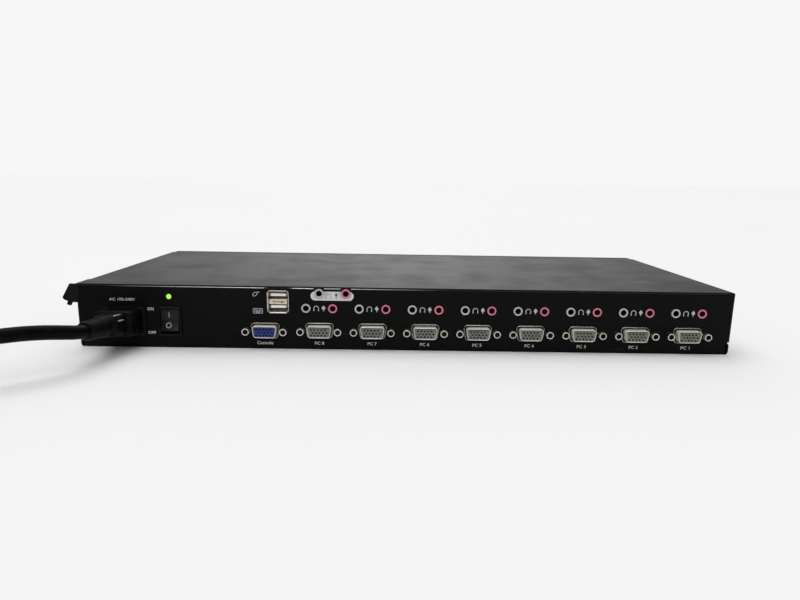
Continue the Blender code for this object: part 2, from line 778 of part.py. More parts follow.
def power_board(mat_board, mat_dark):
    """Power board with its two capacitors, and the transformer that stands on it."""
    low = (POWER_LEFT, POWER_BACK, BOARD_TOP - BOARD)
    power = add("power_board", box(low, (POWER_RIGHT, POWER_FRONT, BOARD_TOP)), mat_board)
    feet(power, (POWER_LEFT + FOOT, POWER_RIGHT - FOOT), (POWER_BACK + FOOT, POWER_FRONT - FOOT))
    for x, y in CAN_SPOTS:
        levels = (BOARD_TOP - OVERLAP, BOARD_TOP + CAN_HEIGHT)
        can = [[(px, py, z) for px, py in circle(x, y, CAN_R, 12)] for z in levels]
        boolean(power, loft(can), "UNION")
    low = (*TRANSFORMER_LOW, BOARD_TOP + GAP)
    add("transformer", box(low, (*TRANSFORMER_HIGH, TRANSFORMER_TOP)), mat_dark)


def button_board(mat):
    """Upright board behind the button stems; returns where its rear face is."""
    face = FRONT - FASCIA_SKIN - GAP - STEM - BUTTON_BOARD_GAP
    left, right = button_x(0) - BUTTON_PITCH / 2, button_x(BUTTONS - 1) + BUTTON_PITCH / 2
    low, high = BUTTON_Z - BUTTON_BOARD_H / 2, BUTTON_Z + BUTTON_BOARD_H / 2
    add("button_board", box((left, face - BOARD, low), (right, face, high)), mat)
    return face - BOARD


def cable_runs(mat, board_back):
    """A ribbon from the main board to the button board, and the power board's leads."""
    rise, end, level = MAIN_FRONT - RIBBON_INSET, board_back - GAP, BOARD_TOP + GAP
    foot = rise - RIBBON_END
    ribbon = [(foot, level), (rise, level), (rise, RIBBON_Z), (end, RIBBON_Z), (end, RIBBON_Z + RIBBON_END)]
    ribbon.append((foot, RIBBON_Z + RIBBON_T))
    add("ribbon_cable", prism(ribbon, RIBBON_LEFT, RIBBON_RIGHT, "X"), mat)
    left, right = POWER_RIGHT - 1.5 * LEADS_FOOT, MAIN_LEFT + 2 * LEADS_FOOT
    inner_left, inner_right = left + LEADS_FOOT, right - LEADS_FOOT
    leads = [(left, level), (left, LEADS_Z + LEADS_T), (right, LEADS_Z + LEADS_T), (right, level)]
    leads += [(inner_right, level), (inner_right, LEADS_Z), (inner_left, LEADS_Z), (inner_left, level)]
    add("power_leads", prism([(x, z) for x, z in leads], *LEADS_Y, "Y"), mat)


def along(start, end, width, height, radius, share):
    """A ring of a tapering grip at a share of the way to its end; it turns from facing -Y to the end."""
    middle = start.lerp(end, share)
    facing = Vector((0.0, -1.0, 0.0)).lerp((end - start).normalized(), min(1.0, 4 * share)).normalized()
    right = Vector((1.0, 0.0, 0.0)) - facing * facing.x
    right.normalize()
    up = facing.cross(right)
    return [middle + right * x + up * z for x, z in rectangle(0.0, 0.0, width, height, radius, 3)]


def pin_places():
    """The middles of the inlet's three blades; the earth blade is the upper one."""
    for side in (-1, 0, 1):
        yield INLET_X + side * PIN_PITCH, INLET_Z + BLADE_DROP * (1 - 2 * abs(side))


def cord_plug(mat):
    """Moulded appliance plug: nose in the inlet, two-step grip and round strain relief."""
    start = Vector((INLET_X, REAR - INLET_RIM - GAP, INLET_Z))
    end = Vector(ROUTE[0])
    end -= (end - start).normalized() * GAP
    nose = rectangle(INLET_X, INLET_Z, NOSE_W, NOSE_H, INLET_CORNER, 3)
    rings = [at_y(nose, REAR + NOSE_DEEP - GAP - SHEET), at_y(nose, start.y)]
    rings += [along(start, end, w, h, r, share) for share, w, h, r in GRIP]
    plug = add("cord_plug", loft(rings), mat)
    slots = []
    for x, z in pin_places():
        w, h = BLADE_W / 2 + 1.3 * GAP, BLADE_H / 2 + 1.3 * GAP
        slots.append(box((x - w, REAR + OVERLAP, z - h), (x + w, REAR + INLET_DEEP, z + h)))
    boolean(plug, join_bm(*slots), "DIFFERENCE")


def smooth_route(points, spacing):
    """Points along a Catmull-Rom curve through the given ones."""
    knots = [Vector(point) for point in points]
    knots = [knots[0] * 2 - knots[1]] + knots + [knots[-1] * 2 - knots[-2]]
    path = []
    for a, b, c, d in zip(knots, knots[1:], knots[2:], knots[3:]):
        steps = max(1, round((c - b).length / spacing))
        for step in range(steps):
            t = step / steps
            bent = (2 * b + (c - a) * t + (2 * a - 5 * b + 4 * c - d) * t * t
                    + (3 * b - a - 3 * c + d) * t * t * t)
            path.append(bent / 2)
    path.append(knots[-2])
    return path


def cord_run(mat):
    """The free stretch of the lead, from the plug to the coil."""
    curve = bpy.data.curves.new("cord_run", "CURVE")
    curve.dimensions = "3D"
    curve.bevel_depth = CORD_D / 2
    curve.bevel_resolution = 3
    curve.use_fill_caps = True
    spline = curve.splines.new("POLY")
    path = smooth_route(ROUTE, CORD_D)
    spline.points.add(len(path) - 1)
    for point, where in zip(spline.points, path):
        point.co = (*where, 1.0)
    curve.materials.append(mat)
    obj = bpy.data.objects.new("cord_run", curve)
    bpy.context.scene.collection.objects.link(obj)


def cord_coil(mat):
    """The wound-up length of the lead as one turned ring with round shoulders."""
    r = CORD_D / 2
    inner, outer = COIL_RADIUS - 2 * r, COIL_RADIUS + 2 * r
    low, high = GAP + r, GAP + COIL_LAYERS * CORD_D - r
    profile = []
    for x, z, first in ((outer, low, -90), (outer, high, 0), (inner, high, 90), (inner, low, 180)):
        for step in range(3):
            a = math.radians(first + 45 * step)
            profile.append((x + r * math.cos(a), z + r * math.sin(a)))
    bm = bmesh.new()
    rows = []
    for i in range(COIL_STEPS):
        cos, sin = math.cos(math.tau * i / COIL_STEPS), math.sin(math.tau * i / COIL_STEPS)
        rows.append([bm.verts.new((COIL_X + x * cos, COIL_Y + x * sin, z)) for x, z in profile])
    for i, row in enumerate(rows):
        following = rows[(i + 1) % COIL_STEPS]
        for j, vert in enumerate(row):
            k = (j + 1) % len(row)
            bm.faces.new((vert, row[k], following[k], following[j]))
    add("cord_coil", bm, mat)


def wall_plug(mat):
    """Three-blade wall plug that lies beside the coil, its strain relief at the coil's outer turn."""
    outer = COIL_RADIUS + CORD_D
    x = COIL_X - outer
    half = WALL_BODY[1][1] / 2
    first = COIL_Y + math.sqrt((outer + CORD_D / 2) ** 2 - (outer - half) ** 2) + SHEET
    z = GAP + 1.5 * CORD_D
    rings = [at_y(rectangle(x, z, w, h, r, 3), first + reach) for reach, w, h, r in WALL_BODY]
    plug = add("wall_plug", loft(rings), mat)
    base = first + WALL_BODY[-1][0] - SHEET
    for side in (-1, 1):
        middle = x + side * PRONG_PITCH / 2
        low = (middle - PRONG_W / 2, base, z + PRONG_RISE - PRONG_H / 2)
        high = (middle + PRONG_W / 2, base + PRONG_LENGTH, z + PRONG_RISE + PRONG_H / 2)
        boolean(plug, box(low, high), "UNION")
    pin = [at_y(circle(x, z - EARTH_DROP, EARTH_R, 10), y) for y in (base, base + EARTH_LENGTH)]
    boolean(plug, loft(pin), "UNION")


def build():
    clear_scene()
    steel = material("black_steel", (0.012, 0.012, 0.013), 0.45, 0.3)
    plastic = material("black_plastic", (0.015, 0.015, 0.016), 0.5)
    nickel = material("nickel", (0.62, 0.60, 0.55), 0.3, 1.0)
    zinc = material("black_zinc", (0.03, 0.03, 0.03), 0.35, 0.8)
    green = material("green_jack", (0.32, 0.38, 0.32), 0.5)
    pink = material("pink_jack", (0.62, 0.20, 0.28), 0.5)
    resin = material("board_green", (0.02, 0.14, 0.06), 0.5)
    copper = material("wire", (0.25, 0.25, 0.25), 0.6)
    nylon = material("usb_white", (0.75, 0.75, 0.72), 0.5)
    lamp = material("lamp_green", (0.10, 0.90, 0.15), 0.2)
    rubber = material("cord_rubber", (0.012, 0.012, 0.012), 0.55)
    base_tray(steel)
    top_cover(steel)
    front_panel(plastic)
    cover_screws(zinc)
    cord_hook(plastic)
    video_connectors(nickel)
    audio_jacks(green, pink)
    usb_sockets(nickel, nylon)
    mains_inlet(plastic)
    rocker_switch(plastic, plastic)
    power_lamp(lamp)
    front_buttons(plastic)
    main_board(resin)
    audio_board(resin)
    power_board(resin, plastic)
    cable_runs(copper, button_board(resin))
    cord_plug(rubber)
    cord_run(rubber)
    cord_coil(rubber)
    wall_plug(rubber)


build()
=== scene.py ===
"""Looks of the eight-port KVM switch: sockets, labels, mains lead, materials, camera and studio.

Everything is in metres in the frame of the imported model: +Z up, the rear panel with the sockets
faces -Y, and the origin is on the floor under the middle of the case.
"""

import math
import random

import bmesh
import bpy
from mathutils import Matrix, Vector


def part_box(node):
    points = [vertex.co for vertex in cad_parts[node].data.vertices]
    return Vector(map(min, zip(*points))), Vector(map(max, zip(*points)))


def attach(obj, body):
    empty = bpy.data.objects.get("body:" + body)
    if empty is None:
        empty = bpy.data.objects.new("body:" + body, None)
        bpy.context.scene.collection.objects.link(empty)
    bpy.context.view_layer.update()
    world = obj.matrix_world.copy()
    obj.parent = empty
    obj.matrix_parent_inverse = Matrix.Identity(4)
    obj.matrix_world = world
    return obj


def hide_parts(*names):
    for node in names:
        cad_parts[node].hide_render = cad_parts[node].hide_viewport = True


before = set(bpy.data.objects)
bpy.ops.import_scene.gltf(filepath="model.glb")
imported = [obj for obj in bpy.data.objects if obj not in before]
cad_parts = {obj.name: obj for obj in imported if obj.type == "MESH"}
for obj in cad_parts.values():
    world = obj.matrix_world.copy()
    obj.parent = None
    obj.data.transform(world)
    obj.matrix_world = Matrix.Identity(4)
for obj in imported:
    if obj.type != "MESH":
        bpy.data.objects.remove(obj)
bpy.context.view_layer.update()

MM = 0.001
PORTS = 8
SOCKETS = ["console"] + [f"pc{port}" for port in range(1, PORTS + 1)]
BUTTONS = 8
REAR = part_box("base_tray")[0].y
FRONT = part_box("front_panel")[1].y
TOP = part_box("top_cover")[1].z

# 15-way video socket, in millimetres
COLLAR = (20.0, 10.8, 2.4)
SHELL = (16.8, 8.0, 1.8)
INSERT = (15.3, 6.3, 1.2)
INSERT_DROP = 0.35
SLANT = math.radians(10)
PIN_PITCH = 2.29
ROW_PITCH = 1.98
SCREW_PITCH = 24.99
SCREW_AF = 4.8
HOLE_R = 0.62 * MM
LENS_R = 1.70 * MM
USB_TONGUES = (-4.5, 3.6)
ROCKER_TILT = math.radians(-9)
LETTER_WEIGHT = 0.012

# Mains lead
CORD_D = 0.0084
FLOOR_GAP = 0.0003
COIL_CENTRE = (-0.3160, -0.1523)
COIL_RADIUS = 0.0430
POINTS_PER_TURN = 24
ROUTE = (
    (-0.1935, -0.1345, 0.0221),
    (-0.1942, -0.1411, 0.0231),
    (-0.1982, -0.1492, 0.0251),
    (-0.2060, -0.1574, 0.0270),
    (-0.2160, -0.1658, 0.0279),
    (-0.2262, -0.1735, 0.0275),
    (-0.2362, -0.1812, 0.0250),
    (-0.2470, -0.1886, 0.0203),
    (-0.2580, -0.1948, 0.0145),
    (-0.2680, -0.1996, 0.0090),
    (-0.2765, -0.2024, 0.0059),
    (-0.2845, -0.2037, 0.0045),
)

# Camera
CAMERA_PLACE = (-0.0109, -0.4768732, 0.1137397)
CAMERA_RIGHT = Vector((0.99979496, -0.01088671, 0.01707403))
CAMERA_UP = Vector((-0.01455184, 0.20007059, 0.97967342))
CAMERA_LENS = 26.5575
SENSOR = 36.0


# ------------ outlines and meshes

def circle(x, z, radius, steps=24, turn=0.0):
    spokes = [turn + math.tau * i / steps for i in range(steps)]
    return [(x + radius * math.cos(a), z + radius * math.sin(a)) for a in spokes]


def rounded(corners, radius, steps=5):
    """The outline of a polygon with each corner replaced by an arc."""
    points = []
    for i, corner in enumerate(corners):
        here = Vector(corner)
        before = (Vector(corners[i - 1]) - here).normalized()
        after = (Vector(corners[(i + 1) % len(corners)]) - here).normalized()
        half = before.angle(after) / 2
        middle = here + (before + after).normalized() * (radius / math.sin(half))
        start = here + before * (radius / math.tan(half)) - middle
        end = here + after * (radius / math.tan(half)) - middle
        for step in range(steps + 1):
            points.append(tuple(middle + start.lerp(end, step / steps).normalized() * radius))
    return points


def rectangle(x, z, width, height, radius, steps=5):
    w, h = width / 2, height / 2
    return rounded([(x - w, z - h), (x + w, z - h), (x + w, z + h), (x - w, z + h)], radius, steps)


def plate(x, z, width, height, radius, steps=5):
    """A rounded rectangle about (x, z) with its sizes in millimetres."""
    return rectangle(x, z, width * MM, height * MM, radius * MM, steps)


def d_shape(x, z, size, inset=0.0):
    """The outline of a D socket with its wide side up, moved inwards by inset."""
    width, height, radius = size
    w = width / 2 - inset * (math.tan(SLANT) + 1 / math.cos(SLANT))
    h = height / 2 - inset
    lower = w - 2 * h * math.tan(SLANT)
    corners = [(x - lower, z - h), (x + lower, z - h), (x + w, z + h), (x - w, z + h)]
    return rounded(corners, max(radius - inset, 0.0001), 5)


def scaled(size):
    """Millimetres to metres."""
    return tuple(value * MM for value in size)


def at_y(outline, y):
    return [Vector((x, y, z)) for x, z in outline]


def outwards(outline, out):
    """The outline at a reach in millimetres out of the rear panel."""
    return at_y(outline, REAR - out * MM)


def cap(bm, ring, mat=0):
    bm.faces.new([bm.verts.new(point) for point in ring]).material_index = mat


def skin(bm, rings, mat=0, caps=True, closed=False):
    """Adds faces through rings that hold the same number of points, closed by flat ends or on itself."""
    rows = [[bm.verts.new(point) for point in ring] for ring in rings]
    faces = []
    following_rows = rows[1:] + ([rows[0]] if closed else [])
    for row, following in zip(rows, following_rows):
        for i, vert in enumerate(row):
            j = (i + 1) % len(row)
            faces.append(bm.faces.new((vert, row[j], following[j], following[i])))
    if caps and not closed:
        faces.append(bm.faces.new(rows[0]))
        faces.append(bm.faces.new(list(reversed(rows[-1]))))
    for face in faces:
        face.material_index = mat
    return faces


def block(bm, low, high, mat=0):
    outline = [(low[0], low[2]), (high[0], low[2]), (high[0], high[2]), (low[0], high[2])]
    return skin(bm, [at_y(outline, low[1]), at_y(outline, high[1])], mat)


def lathe(bm, x, z, profile, steps=32, mat=0):
    """Turns (radius, y) pairs about a line along Y."""
    return skin(bm, [at_y(circle(x, z, radius, steps), y) for radius, y in profile], mat)


def bevelled(bm, width, angle=35, segments=2):
    bmesh.ops.recalc_face_normals(bm, faces=bm.faces)
    edges = [edge for edge in bm.edges if edge.calc_face_angle(0.0) > math.radians(angle)]
    bmesh.ops.bevel(bm, geom=edges, offset=width, segments=segments, profile=0.5, affect="EDGES",
                    clamp_overlap=True)


def mesh_of(name, bm, sharp=38):
    """Ends a bmesh as a mesh, smooth except where its faces meet at more than the sharp angle."""
    bmesh.ops.recalc_face_normals(bm, faces=bm.faces)
    for face in bm.faces:
        face.smooth = True
    for edge in bm.edges:
        edge.smooth = edge.calc_face_angle(0.0) < math.radians(sharp)
    mesh = bpy.data.meshes.new(name)
    bm.to_mesh(mesh)
    bm.free()
    return mesh


def placed(name, data):
    """A new object in the scene for this data."""
    obj = bpy.data.objects.new(name, data)
    bpy.context.scene.collection.objects.link(obj)
    return obj


def show(name, data, materials, body="case", stands_for=()):
    """Makes a shown piece from a mesh or curve and lets it ride on its body."""
    for mat in materials:
        data.materials.append(mat)
    obj = placed(name, data)
    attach(obj, body)
    if stands_for:
        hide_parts(*stands_for)
    return obj


def piece(name, bm, materials, stands_for=(), body="case", sharp=38):
    """Ends a bmesh and shows it under the same name."""
    return show(name, mesh_of(name, bm, sharp), materials, body, stands_for)


def cut(mesh, cutter):
    """The mesh with the cutter's solids taken away."""
    obj, tool = placed("cut", mesh), placed("tool", cutter)
    modifier = obj.modifiers.new("cut", "BOOLEAN")
    modifier.operation = "DIFFERENCE"
    modifier.solver = "EXACT"
    modifier.object = tool
    depsgraph = bpy.context.evaluated_depsgraph_get()
    result = bpy.data.meshes.new_from_object(obj.evaluated_get(depsgraph))
    bpy.data.objects.remove(obj)
    bpy.data.objects.remove(tool)
    return result


def middle_of(node):
    low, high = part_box(node)
    return (low + high) / 2


# ------------ materials

class Surface:
    """A principled material with the nodes that feed it. Sizes are in metres of object space."""

    def __init__(self, name, colour, roughness, metallic=0.0, **fixed):
        self.material = bpy.data.materials.new(name)
        self.material.use_nodes = True
        self.tree = self.material.node_tree
        self.shader = self.tree.nodes["Principled BSDF"]
        self.shader.inputs["Base Color"].default_value = (*colour, 1.0)
        self.shader.inputs["Roughness"].default_value = roughness
        self.shader.inputs["Metallic"].default_value = metallic
        for word, value in fixed.items():
            self.shader.inputs[word.replace("_", " ")].default_value = value
        self.place = self.node("ShaderNodeTexCoord").outputs["Object"]
        self.normal = None

    def node(self, kind, **settings):
        made = self.tree.nodes.new(kind)
        for word, value in settings.items():
            setattr(made, word, value)
        return made

    def link(self, source, target):
        if hasattr(source, "is_linked"):
            self.tree.links.new(source, target)
        elif isinstance(source, tuple):
            target.default_value = (*source, 1.0)
        else:
            target.default_value = source

    def noise(self, size, detail=3.0, stretch=(1.0, 1.0, 1.0), distortion=0.0):
        mapping = self.node("ShaderNodeMapping")
        mapping.inputs["Scale"].default_value = stretch
        self.link(self.place, mapping.inputs["Vector"])
        made = self.node("ShaderNodeTexNoise")
        made.inputs["Scale"].default_value = 1.0 / size
        made.inputs["Detail"].default_value = detail
        made.inputs["Distortion"].default_value = distortion
        self.link(mapping.outputs["Vector"], made.inputs["Vector"])
        return made.outputs["Fac"]

    def cells(self, size):
        made = self.node("ShaderNodeTexVoronoi")
        made.inputs["Scale"].default_value = 1.0 / size
        self.link(self.place, made.inputs["Vector"])
        return made.outputs["Distance"]

    def span(self, source, low, high, to_low=0.0, to_high=1.0):
        made = self.node("ShaderNodeMapRange", clamp=True)
        self.link(source, made.inputs["Value"])
        for word, value in (("From Min", low), ("From Max", high), ("To Min", to_low), ("To Max", to_high)):
            made.inputs[word].default_value = value
        return made.outputs["Result"]

    def times(self, a, b, operation="MULTIPLY"):
        made = self.node("ShaderNodeMath", operation=operation)
        self.link(a, made.inputs[0])
        self.link(b, made.inputs[1])
        return made.outputs["Value"]

    def mixed(self, factor, a, b):
        made = self.node("ShaderNodeMix", data_type="RGBA")
        self.link(factor, made.inputs[0])
        self.link(a, made.inputs[6])
        self.link(b, made.inputs[7])
        return made.outputs[2]

    def edges(self, radius):
        """1 on convex and concave edges and 0 on flat faces."""
        bevel = self.node("ShaderNodeBevel", samples=6)
        bevel.inputs["Radius"].default_value = radius
        flat = self.node("ShaderNodeNewGeometry").outputs["Normal"]
        dot = self.node("ShaderNodeVectorMath", operation="DOT_PRODUCT")
        self.link(bevel.outputs["Normal"], dot.inputs[0])
        self.link(flat, dot.inputs[1])
        self.normal = bevel.outputs["Normal"]
        return self.span(dot.outputs["Value"], 0.97, 0.80)

    def bump(self, height, depth, strength=1.0):
        made = self.node("ShaderNodeBump")
        made.inputs["Strength"].default_value = strength
        made.inputs["Distance"].default_value = depth
        self.link(height, made.inputs["Height"])
        if self.normal:
            self.link(self.normal, made.inputs["Normal"])
        self.normal = made.outputs["Normal"]

    def done(self, colour=None, roughness=None, metallic=None):
        for word, source in (("Base Color", colour), ("Roughness", roughness), ("Metallic", metallic)):
            if source is not None:
                self.link(source, self.shader.inputs[word])
        if self.normal:
            self.link(self.normal, self.shader.inputs["Normal"])
        return self.material


def painted_steel(name, dark, light, wear, index):
    """Fine black powder coat with a little dust, faint rub marks and thin worn spots on its edges."""
    s = Surface(name, dark, 0.42, IOR=index)
    edge = s.edges(0.0007)
    patches = s.span(s.noise(0.030, 4.0), 0.40, 0.70)
    rubs = s.span(s.noise(0.004, 6.0, (0.12, 1.0, 1.0), 0.6), 0.66, 0.74)
    spots = s.span(s.noise(0.006, 5.0), 0.60, 0.66)
    worn = s.times(s.times(edge, spots), wear)
    base = s.mixed(patches, dark, light)
    rubbed = s.mixed(s.times(rubs, 0.35), base, tuple(4 * value for value in light))
    grain = s.noise(0.0005, 2.0)
    s.bump(grain, 0.00003, 0.5)
    rough = s.times(s.span(patches, 0.0, 1.0, 0.37, 0.45), s.times(rubs, 0.08), "SUBTRACT")
    return s.done(s.mixed(worn, rubbed, (0.30, 0.29, 0.28)), rough)


def moulded_plastic(name, colour, roughness, grain=0.0006, depth=0.00002, edge_shine=0.1, **fixed):
    """Injection-moulded plastic: fine spark texture, soft tone changes and slightly polished edges."""
    s = Surface(name, colour, roughness, **fixed)
    edge = s.edges(0.0005)
    tone = s.span(s.noise(0.012, 3.0), 0.35, 0.70)
    lighter = tuple(min(1.0, value * 1.25 + 0.002) for value in colour)
    polished = s.times(edge, edge_shine)
    rough = s.times(s.span(tone, 0.0, 1.0, roughness - 0.04, roughness + 0.05), polished, "SUBTRACT")
    s.bump(s.noise(grain, 2.0), depth, 0.5)
    return s.done(s.mixed(tone, colour, lighter), rough)


def plated_metal(name, colour, roughness, tarnish=(0.30, 0.25, 0.18), metallic=1.0):
    """Plated pressed steel: bright with thin rolling lines and cloudy tarnish, with its convex and concave
    edges lightened as a painted highlight.
    """
    s = Surface(name, colour, roughness, metallic)
    edge = s.edges(0.0003)
    cloud = s.span(s.noise(0.003, 4.0), 0.42, 0.75)
    lines = s.noise(0.0004, 2.0, (0.05, 1.0, 1.0))
    tinted = s.mixed(s.times(cloud, 0.45), colour, tarnish)
    # Painted highlight: convex and concave edges lighter than the plate.
    bright = s.mixed(s.times(edge, 0.5), tinted, tuple(min(1.0, value * 1.2) for value in colour))
    rough = s.times(s.span(cloud, 0.0, 1.0, roughness, roughness + 0.16), s.times(lines, 0.10), "ADD")
    s.bump(lines, 0.00001, 0.4)
    return s.done(bright, rough)


def printed_ink(name, colour):
    """Screen-printed ink: slightly uneven cover and pinholes."""
    s = Surface(name, colour, 0.55)
    cover = s.span(s.noise(0.0006, 3.0), 0.30, 0.62, 0.75, 1.0)
    s.bump(s.noise(0.0003, 2.0), 0.00001, 0.4)
    return s.done(s.mixed(cover, tuple(value * 0.45 for value in colour), colour))


def cord_rubber(name, colour, roughness, index):
    """Soft PVC: satin, faintly orange-peeled, with dusty patches."""
    s = Surface(name, colour, roughness, IOR=index)
    dust = s.span(s.noise(0.010, 5.0), 0.52, 0.78)
    s.bump(s.noise(0.0012, 3.0), 0.00005, 0.5)
    rough = s.span(dust, 0.0, 1.0, roughness, roughness + 0.14)
    return s.done(s.mixed(s.times(dust, 0.4), colour, (0.014, 0.0135, 0.013)), rough)


def lamp_lens(name):
    """Lit green lamp with a hotter middle and a small roughness change over the dome."""
    s = Surface(name, (0.16, 0.70, 0.05), 0.25)
    s.shader.inputs["Emission Strength"].default_value = 1.0
    glow = s.node("ShaderNodeLayerWeight")
    glow.inputs["Blend"].default_value = 0.35
    tone = s.mixed(glow.outputs["Facing"], (0.44, 0.86, 0.03), (0.02, 0.20, 0.005))
    s.link(tone, s.shader.inputs["Emission Color"])
    return s.done(None, s.span(s.noise(0.0008, 2.0), 0.3, 0.7, 0.2, 0.32))


def painted_fold_highlight(name):
    """Painted highlight along a fold: brightest left of the middle and fading towards the right end, the fade
    painted in for the light's fall-off, patchy along its length.
    """
    s = Surface(name, (0.10, 0.10, 0.10), 0.6, Specular_IOR_Level=0.2)
    across = s.node("ShaderNodeSeparateXYZ")
    s.link(s.place, across.inputs[0])
    rise = s.span(across.outputs["X"], -0.200, -0.115)
    fall = s.span(across.outputs["X"], -0.062, 0.020, 1.0, 0.0)
    patchy = s.span(s.noise(0.008, 4.0), 0.30, 0.62, 0.7, 1.0)
    highlight_level = s.times(s.times(rise, fall), patchy)
    tone = s.mixed(highlight_level, (0.015, 0.015, 0.015), (0.95, 0.95, 0.95))
    return s.done(tone, s.span(patchy, 0.4, 1.0, 0.65, 0.5))


def board_resin(name, colour):
    """Solder resist over copper tracks."""
    s = Surface(name, colour, 0.35)
    tracks = s.span(s.cells(0.004), 0.30, 0.36)
    s.bump(tracks, 0.00004, 0.6)
    tone = s.mixed(tracks, colour, tuple(value * 1.6 for value in colour))
    return s.done(tone, s.span(tracks, 0, 1, 0.3, 0.42))


STEEL = painted_steel("case_paint", (0.0030, 0.0032, 0.0036), (0.0044, 0.0045, 0.0048), 0.5, 1.15)
COVER = painted_steel("cover_paint", (0.0070, 0.0068, 0.0060), (0.0105, 0.0102, 0.0090), 0.35, 1.22)
BLACK = moulded_plastic("black_plastic", (0.0034, 0.0034, 0.0037), 0.46, IOR=1.24)
ROCKER = moulded_plastic("rocker_plastic", (0.0050, 0.0050, 0.0056), 0.34, 0.0008, 0.00001, IOR=1.3)
BUTTON = moulded_plastic("button_plastic", (0.045, 0.046, 0.050), 0.40, 0.0005, 0.00001)
BLUE = moulded_plastic("insert_blue", (0.005, 0.020, 0.190), 0.42)
GREY = moulded_plastic("insert_grey", (0.140, 0.150, 0.128), 0.45)
GREEN_JACK = moulded_plastic("jack_grey_green", (0.420, 0.440, 0.385), 0.40)
PINK_JACK = moulded_plastic("jack_pink", (0.640, 0.160, 0.240), 0.38)
NYLON = moulded_plastic("usb_nylon", (0.88, 0.89, 0.84), 0.42)
# Near-black: painted shade inside pin holes, bores, threaded holes, the collar's groove and the shell's well,
# and the real black of the lamp's bezel.
SHADE_AND_BLACK = moulded_plastic("hole_shade_and_bezel_black", (0.004, 0.004, 0.004), 0.60)
NICKEL = plated_metal("nickel", (0.70, 0.66, 0.59), 0.20)
# A lighter, half-metallic copy of the nickel plating for the shell's rolled lip: a painted highlight.
LIP_HIGHLIGHT = plated_metal("rolled_lip_highlight", (0.92, 0.89, 0.83), 0.34, (0.62, 0.56, 0.46), 0.45)
BRIGHT = plated_metal("jackscrew_plate", (0.70, 0.67, 0.60), 0.26)
BRASS = plated_metal("pale_brass", (0.78, 0.70, 0.58), 0.36, (0.46, 0.30, 0.18))
GOLD = plated_metal("contact_gold", (0.80, 0.58, 0.36), 0.34, (0.42, 0.22, 0.14))
ZINC = plated_metal("black_zinc", (0.060, 0.060, 0.062), 0.34, (0.020, 0.020, 0.020))
INK = printed_ink("ink_white", (0.62, 0.62, 0.62))
ICON_INK = printed_ink("ink_icon", (0.50, 0.50, 0.53))
PILL_INK = printed_ink("ink_pill", (0.64, 0.66, 0.67))
FAINT_INK = printed_ink("ink_faint", (0.30, 0.30, 0.31))
BLACK_INK = printed_ink("ink_black", (0.012, 0.012, 0.014))
RUBBER = cord_rubber("cord_rubber", (0.0014, 0.0014, 0.0016), 0.42, 1.14)
PLUG_RUBBER = cord_rubber("plug_rubber", (0.0022, 0.0023, 0.0026), 0.40, 1.20)
# Light grey for the two thin ribs on the plug's grip: painted highlights along its edges.
RIB_HIGHLIGHT = moulded_plastic("painted_rib_highlight", (0.36, 0.37, 0.39), 0.30)
LAMP = lamp_lens("lamp_green")
# Near-white painted highlight for the strip along the wall's upper fold.
FOLD_HIGHLIGHT = painted_fold_highlight("painted_fold_highlight")
RESIN = board_resin("board_resin", (0.010, 0.080, 0.035))
WIRE = moulded_plastic("wire_grey", (0.20, 0.20, 0.20), 0.5)


# ------------ CAD nodes that stay

def refinish():
    """Gives every CAD node that stays on show its finished material."""
    finishes = {
        "base_tray": STEEL, "top_cover": COVER,
        "front_panel": BLACK, "cord_hook": BLACK, "mains_inlet": BLACK,
        "main_board": RESIN, "audio_board": RESIN, "power_board": RESIN, "button_board": RESIN,
        "transformer": ZINC, "ribbon_cable": WIRE, "power_leads": WIRE,
    }
    for node, mat in finishes.items():
        for material_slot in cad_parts[node].material_slots:
            material_slot.material = mat


# ------------ video sockets

def insert_mesh():
    """The moulded insert of a video socket at the origin, its face towards -Y, with 15 round holes."""
    bm = bmesh.new()
    levels = ((0.0, 4.0), (0.0, -4.70), (0.12, -4.85))
    skin(bm, [at_y(d_shape(0.0, 0.0, scaled(INSERT), inset * MM), y * MM) for inset, y in levels])
    body = mesh_of("insert", bm)
    holes = bmesh.new()
    for row in (-1, 0, 1):
        for column in range(5):
            x = (column - 2) * PIN_PITCH + (PIN_PITCH / 2 if row == 0 else 0.0)
            x -= PIN_PITCH / 4
            lathe(holes, x * MM, row * ROW_PITCH * MM, [(HOLE_R, -6 * MM), (HOLE_R, -1.5 * MM)], 12)
    mesh = cut(body, mesh_of("holes", holes))
    deep = -4.80 * MM
    # Faces inside the pin holes take the second, near-black material: painted shade.
    for face in mesh.polygons:
        in_hole = face.center.y > deep and abs(face.center.z) < 2.7 * MM and face.center.y < -1.4 * MM
        face.material_index = 1 if in_hole else 0
    return mesh


def hexagon(x, z, limit, turn):
    """A hexagon of the jackscrew's size in 24 points, none further out than the limit."""
    points = []
    for i in range(24):
        a = math.tau * i / 24
        reach = SCREW_AF * MM / 2 / math.cos((a + math.pi / 6) % (math.pi / 3) - math.pi / 6)
        reach = min(reach, limit)
        points.append((x + reach * math.cos(a + turn), z + reach * math.sin(a + turn)))
    return points


def jackscrew(bm, x, z, turn):
    """Chamfered hexagon with its threaded hole in near-black as painted shade; it runs back through the
    flange.
    """
    rings = [outwards(circle(x, z, 1.6 * MM, 24, turn), out) for out in (-3.0, 0.1)]
    for limit, out in ((2.45, 0.1), (2.9, 0.4), (2.9, 4.45), (2.40, 5.0)):
        rings.append(outwards(hexagon(x, z, limit * MM, turn), out))
    rings.append(outwards(circle(x, z, 1.80 * MM, 24, turn), 5.0))
    skin(bm, rings, 0, caps=False)
    # The threaded hole takes the near-black material as painted shade.
    thread = []
    for step in range(14):
        radius = 1.80 if step == 0 else 1.62 if step % 2 else 1.42
        thread.append(outwards(circle(x, z, radius * MM, 24, turn), 5.0 - 0.25 * step))
    skin(bm, thread, 1, caps=False)
    cap(bm, rings[0])
    cap(bm, thread[-1], 1)


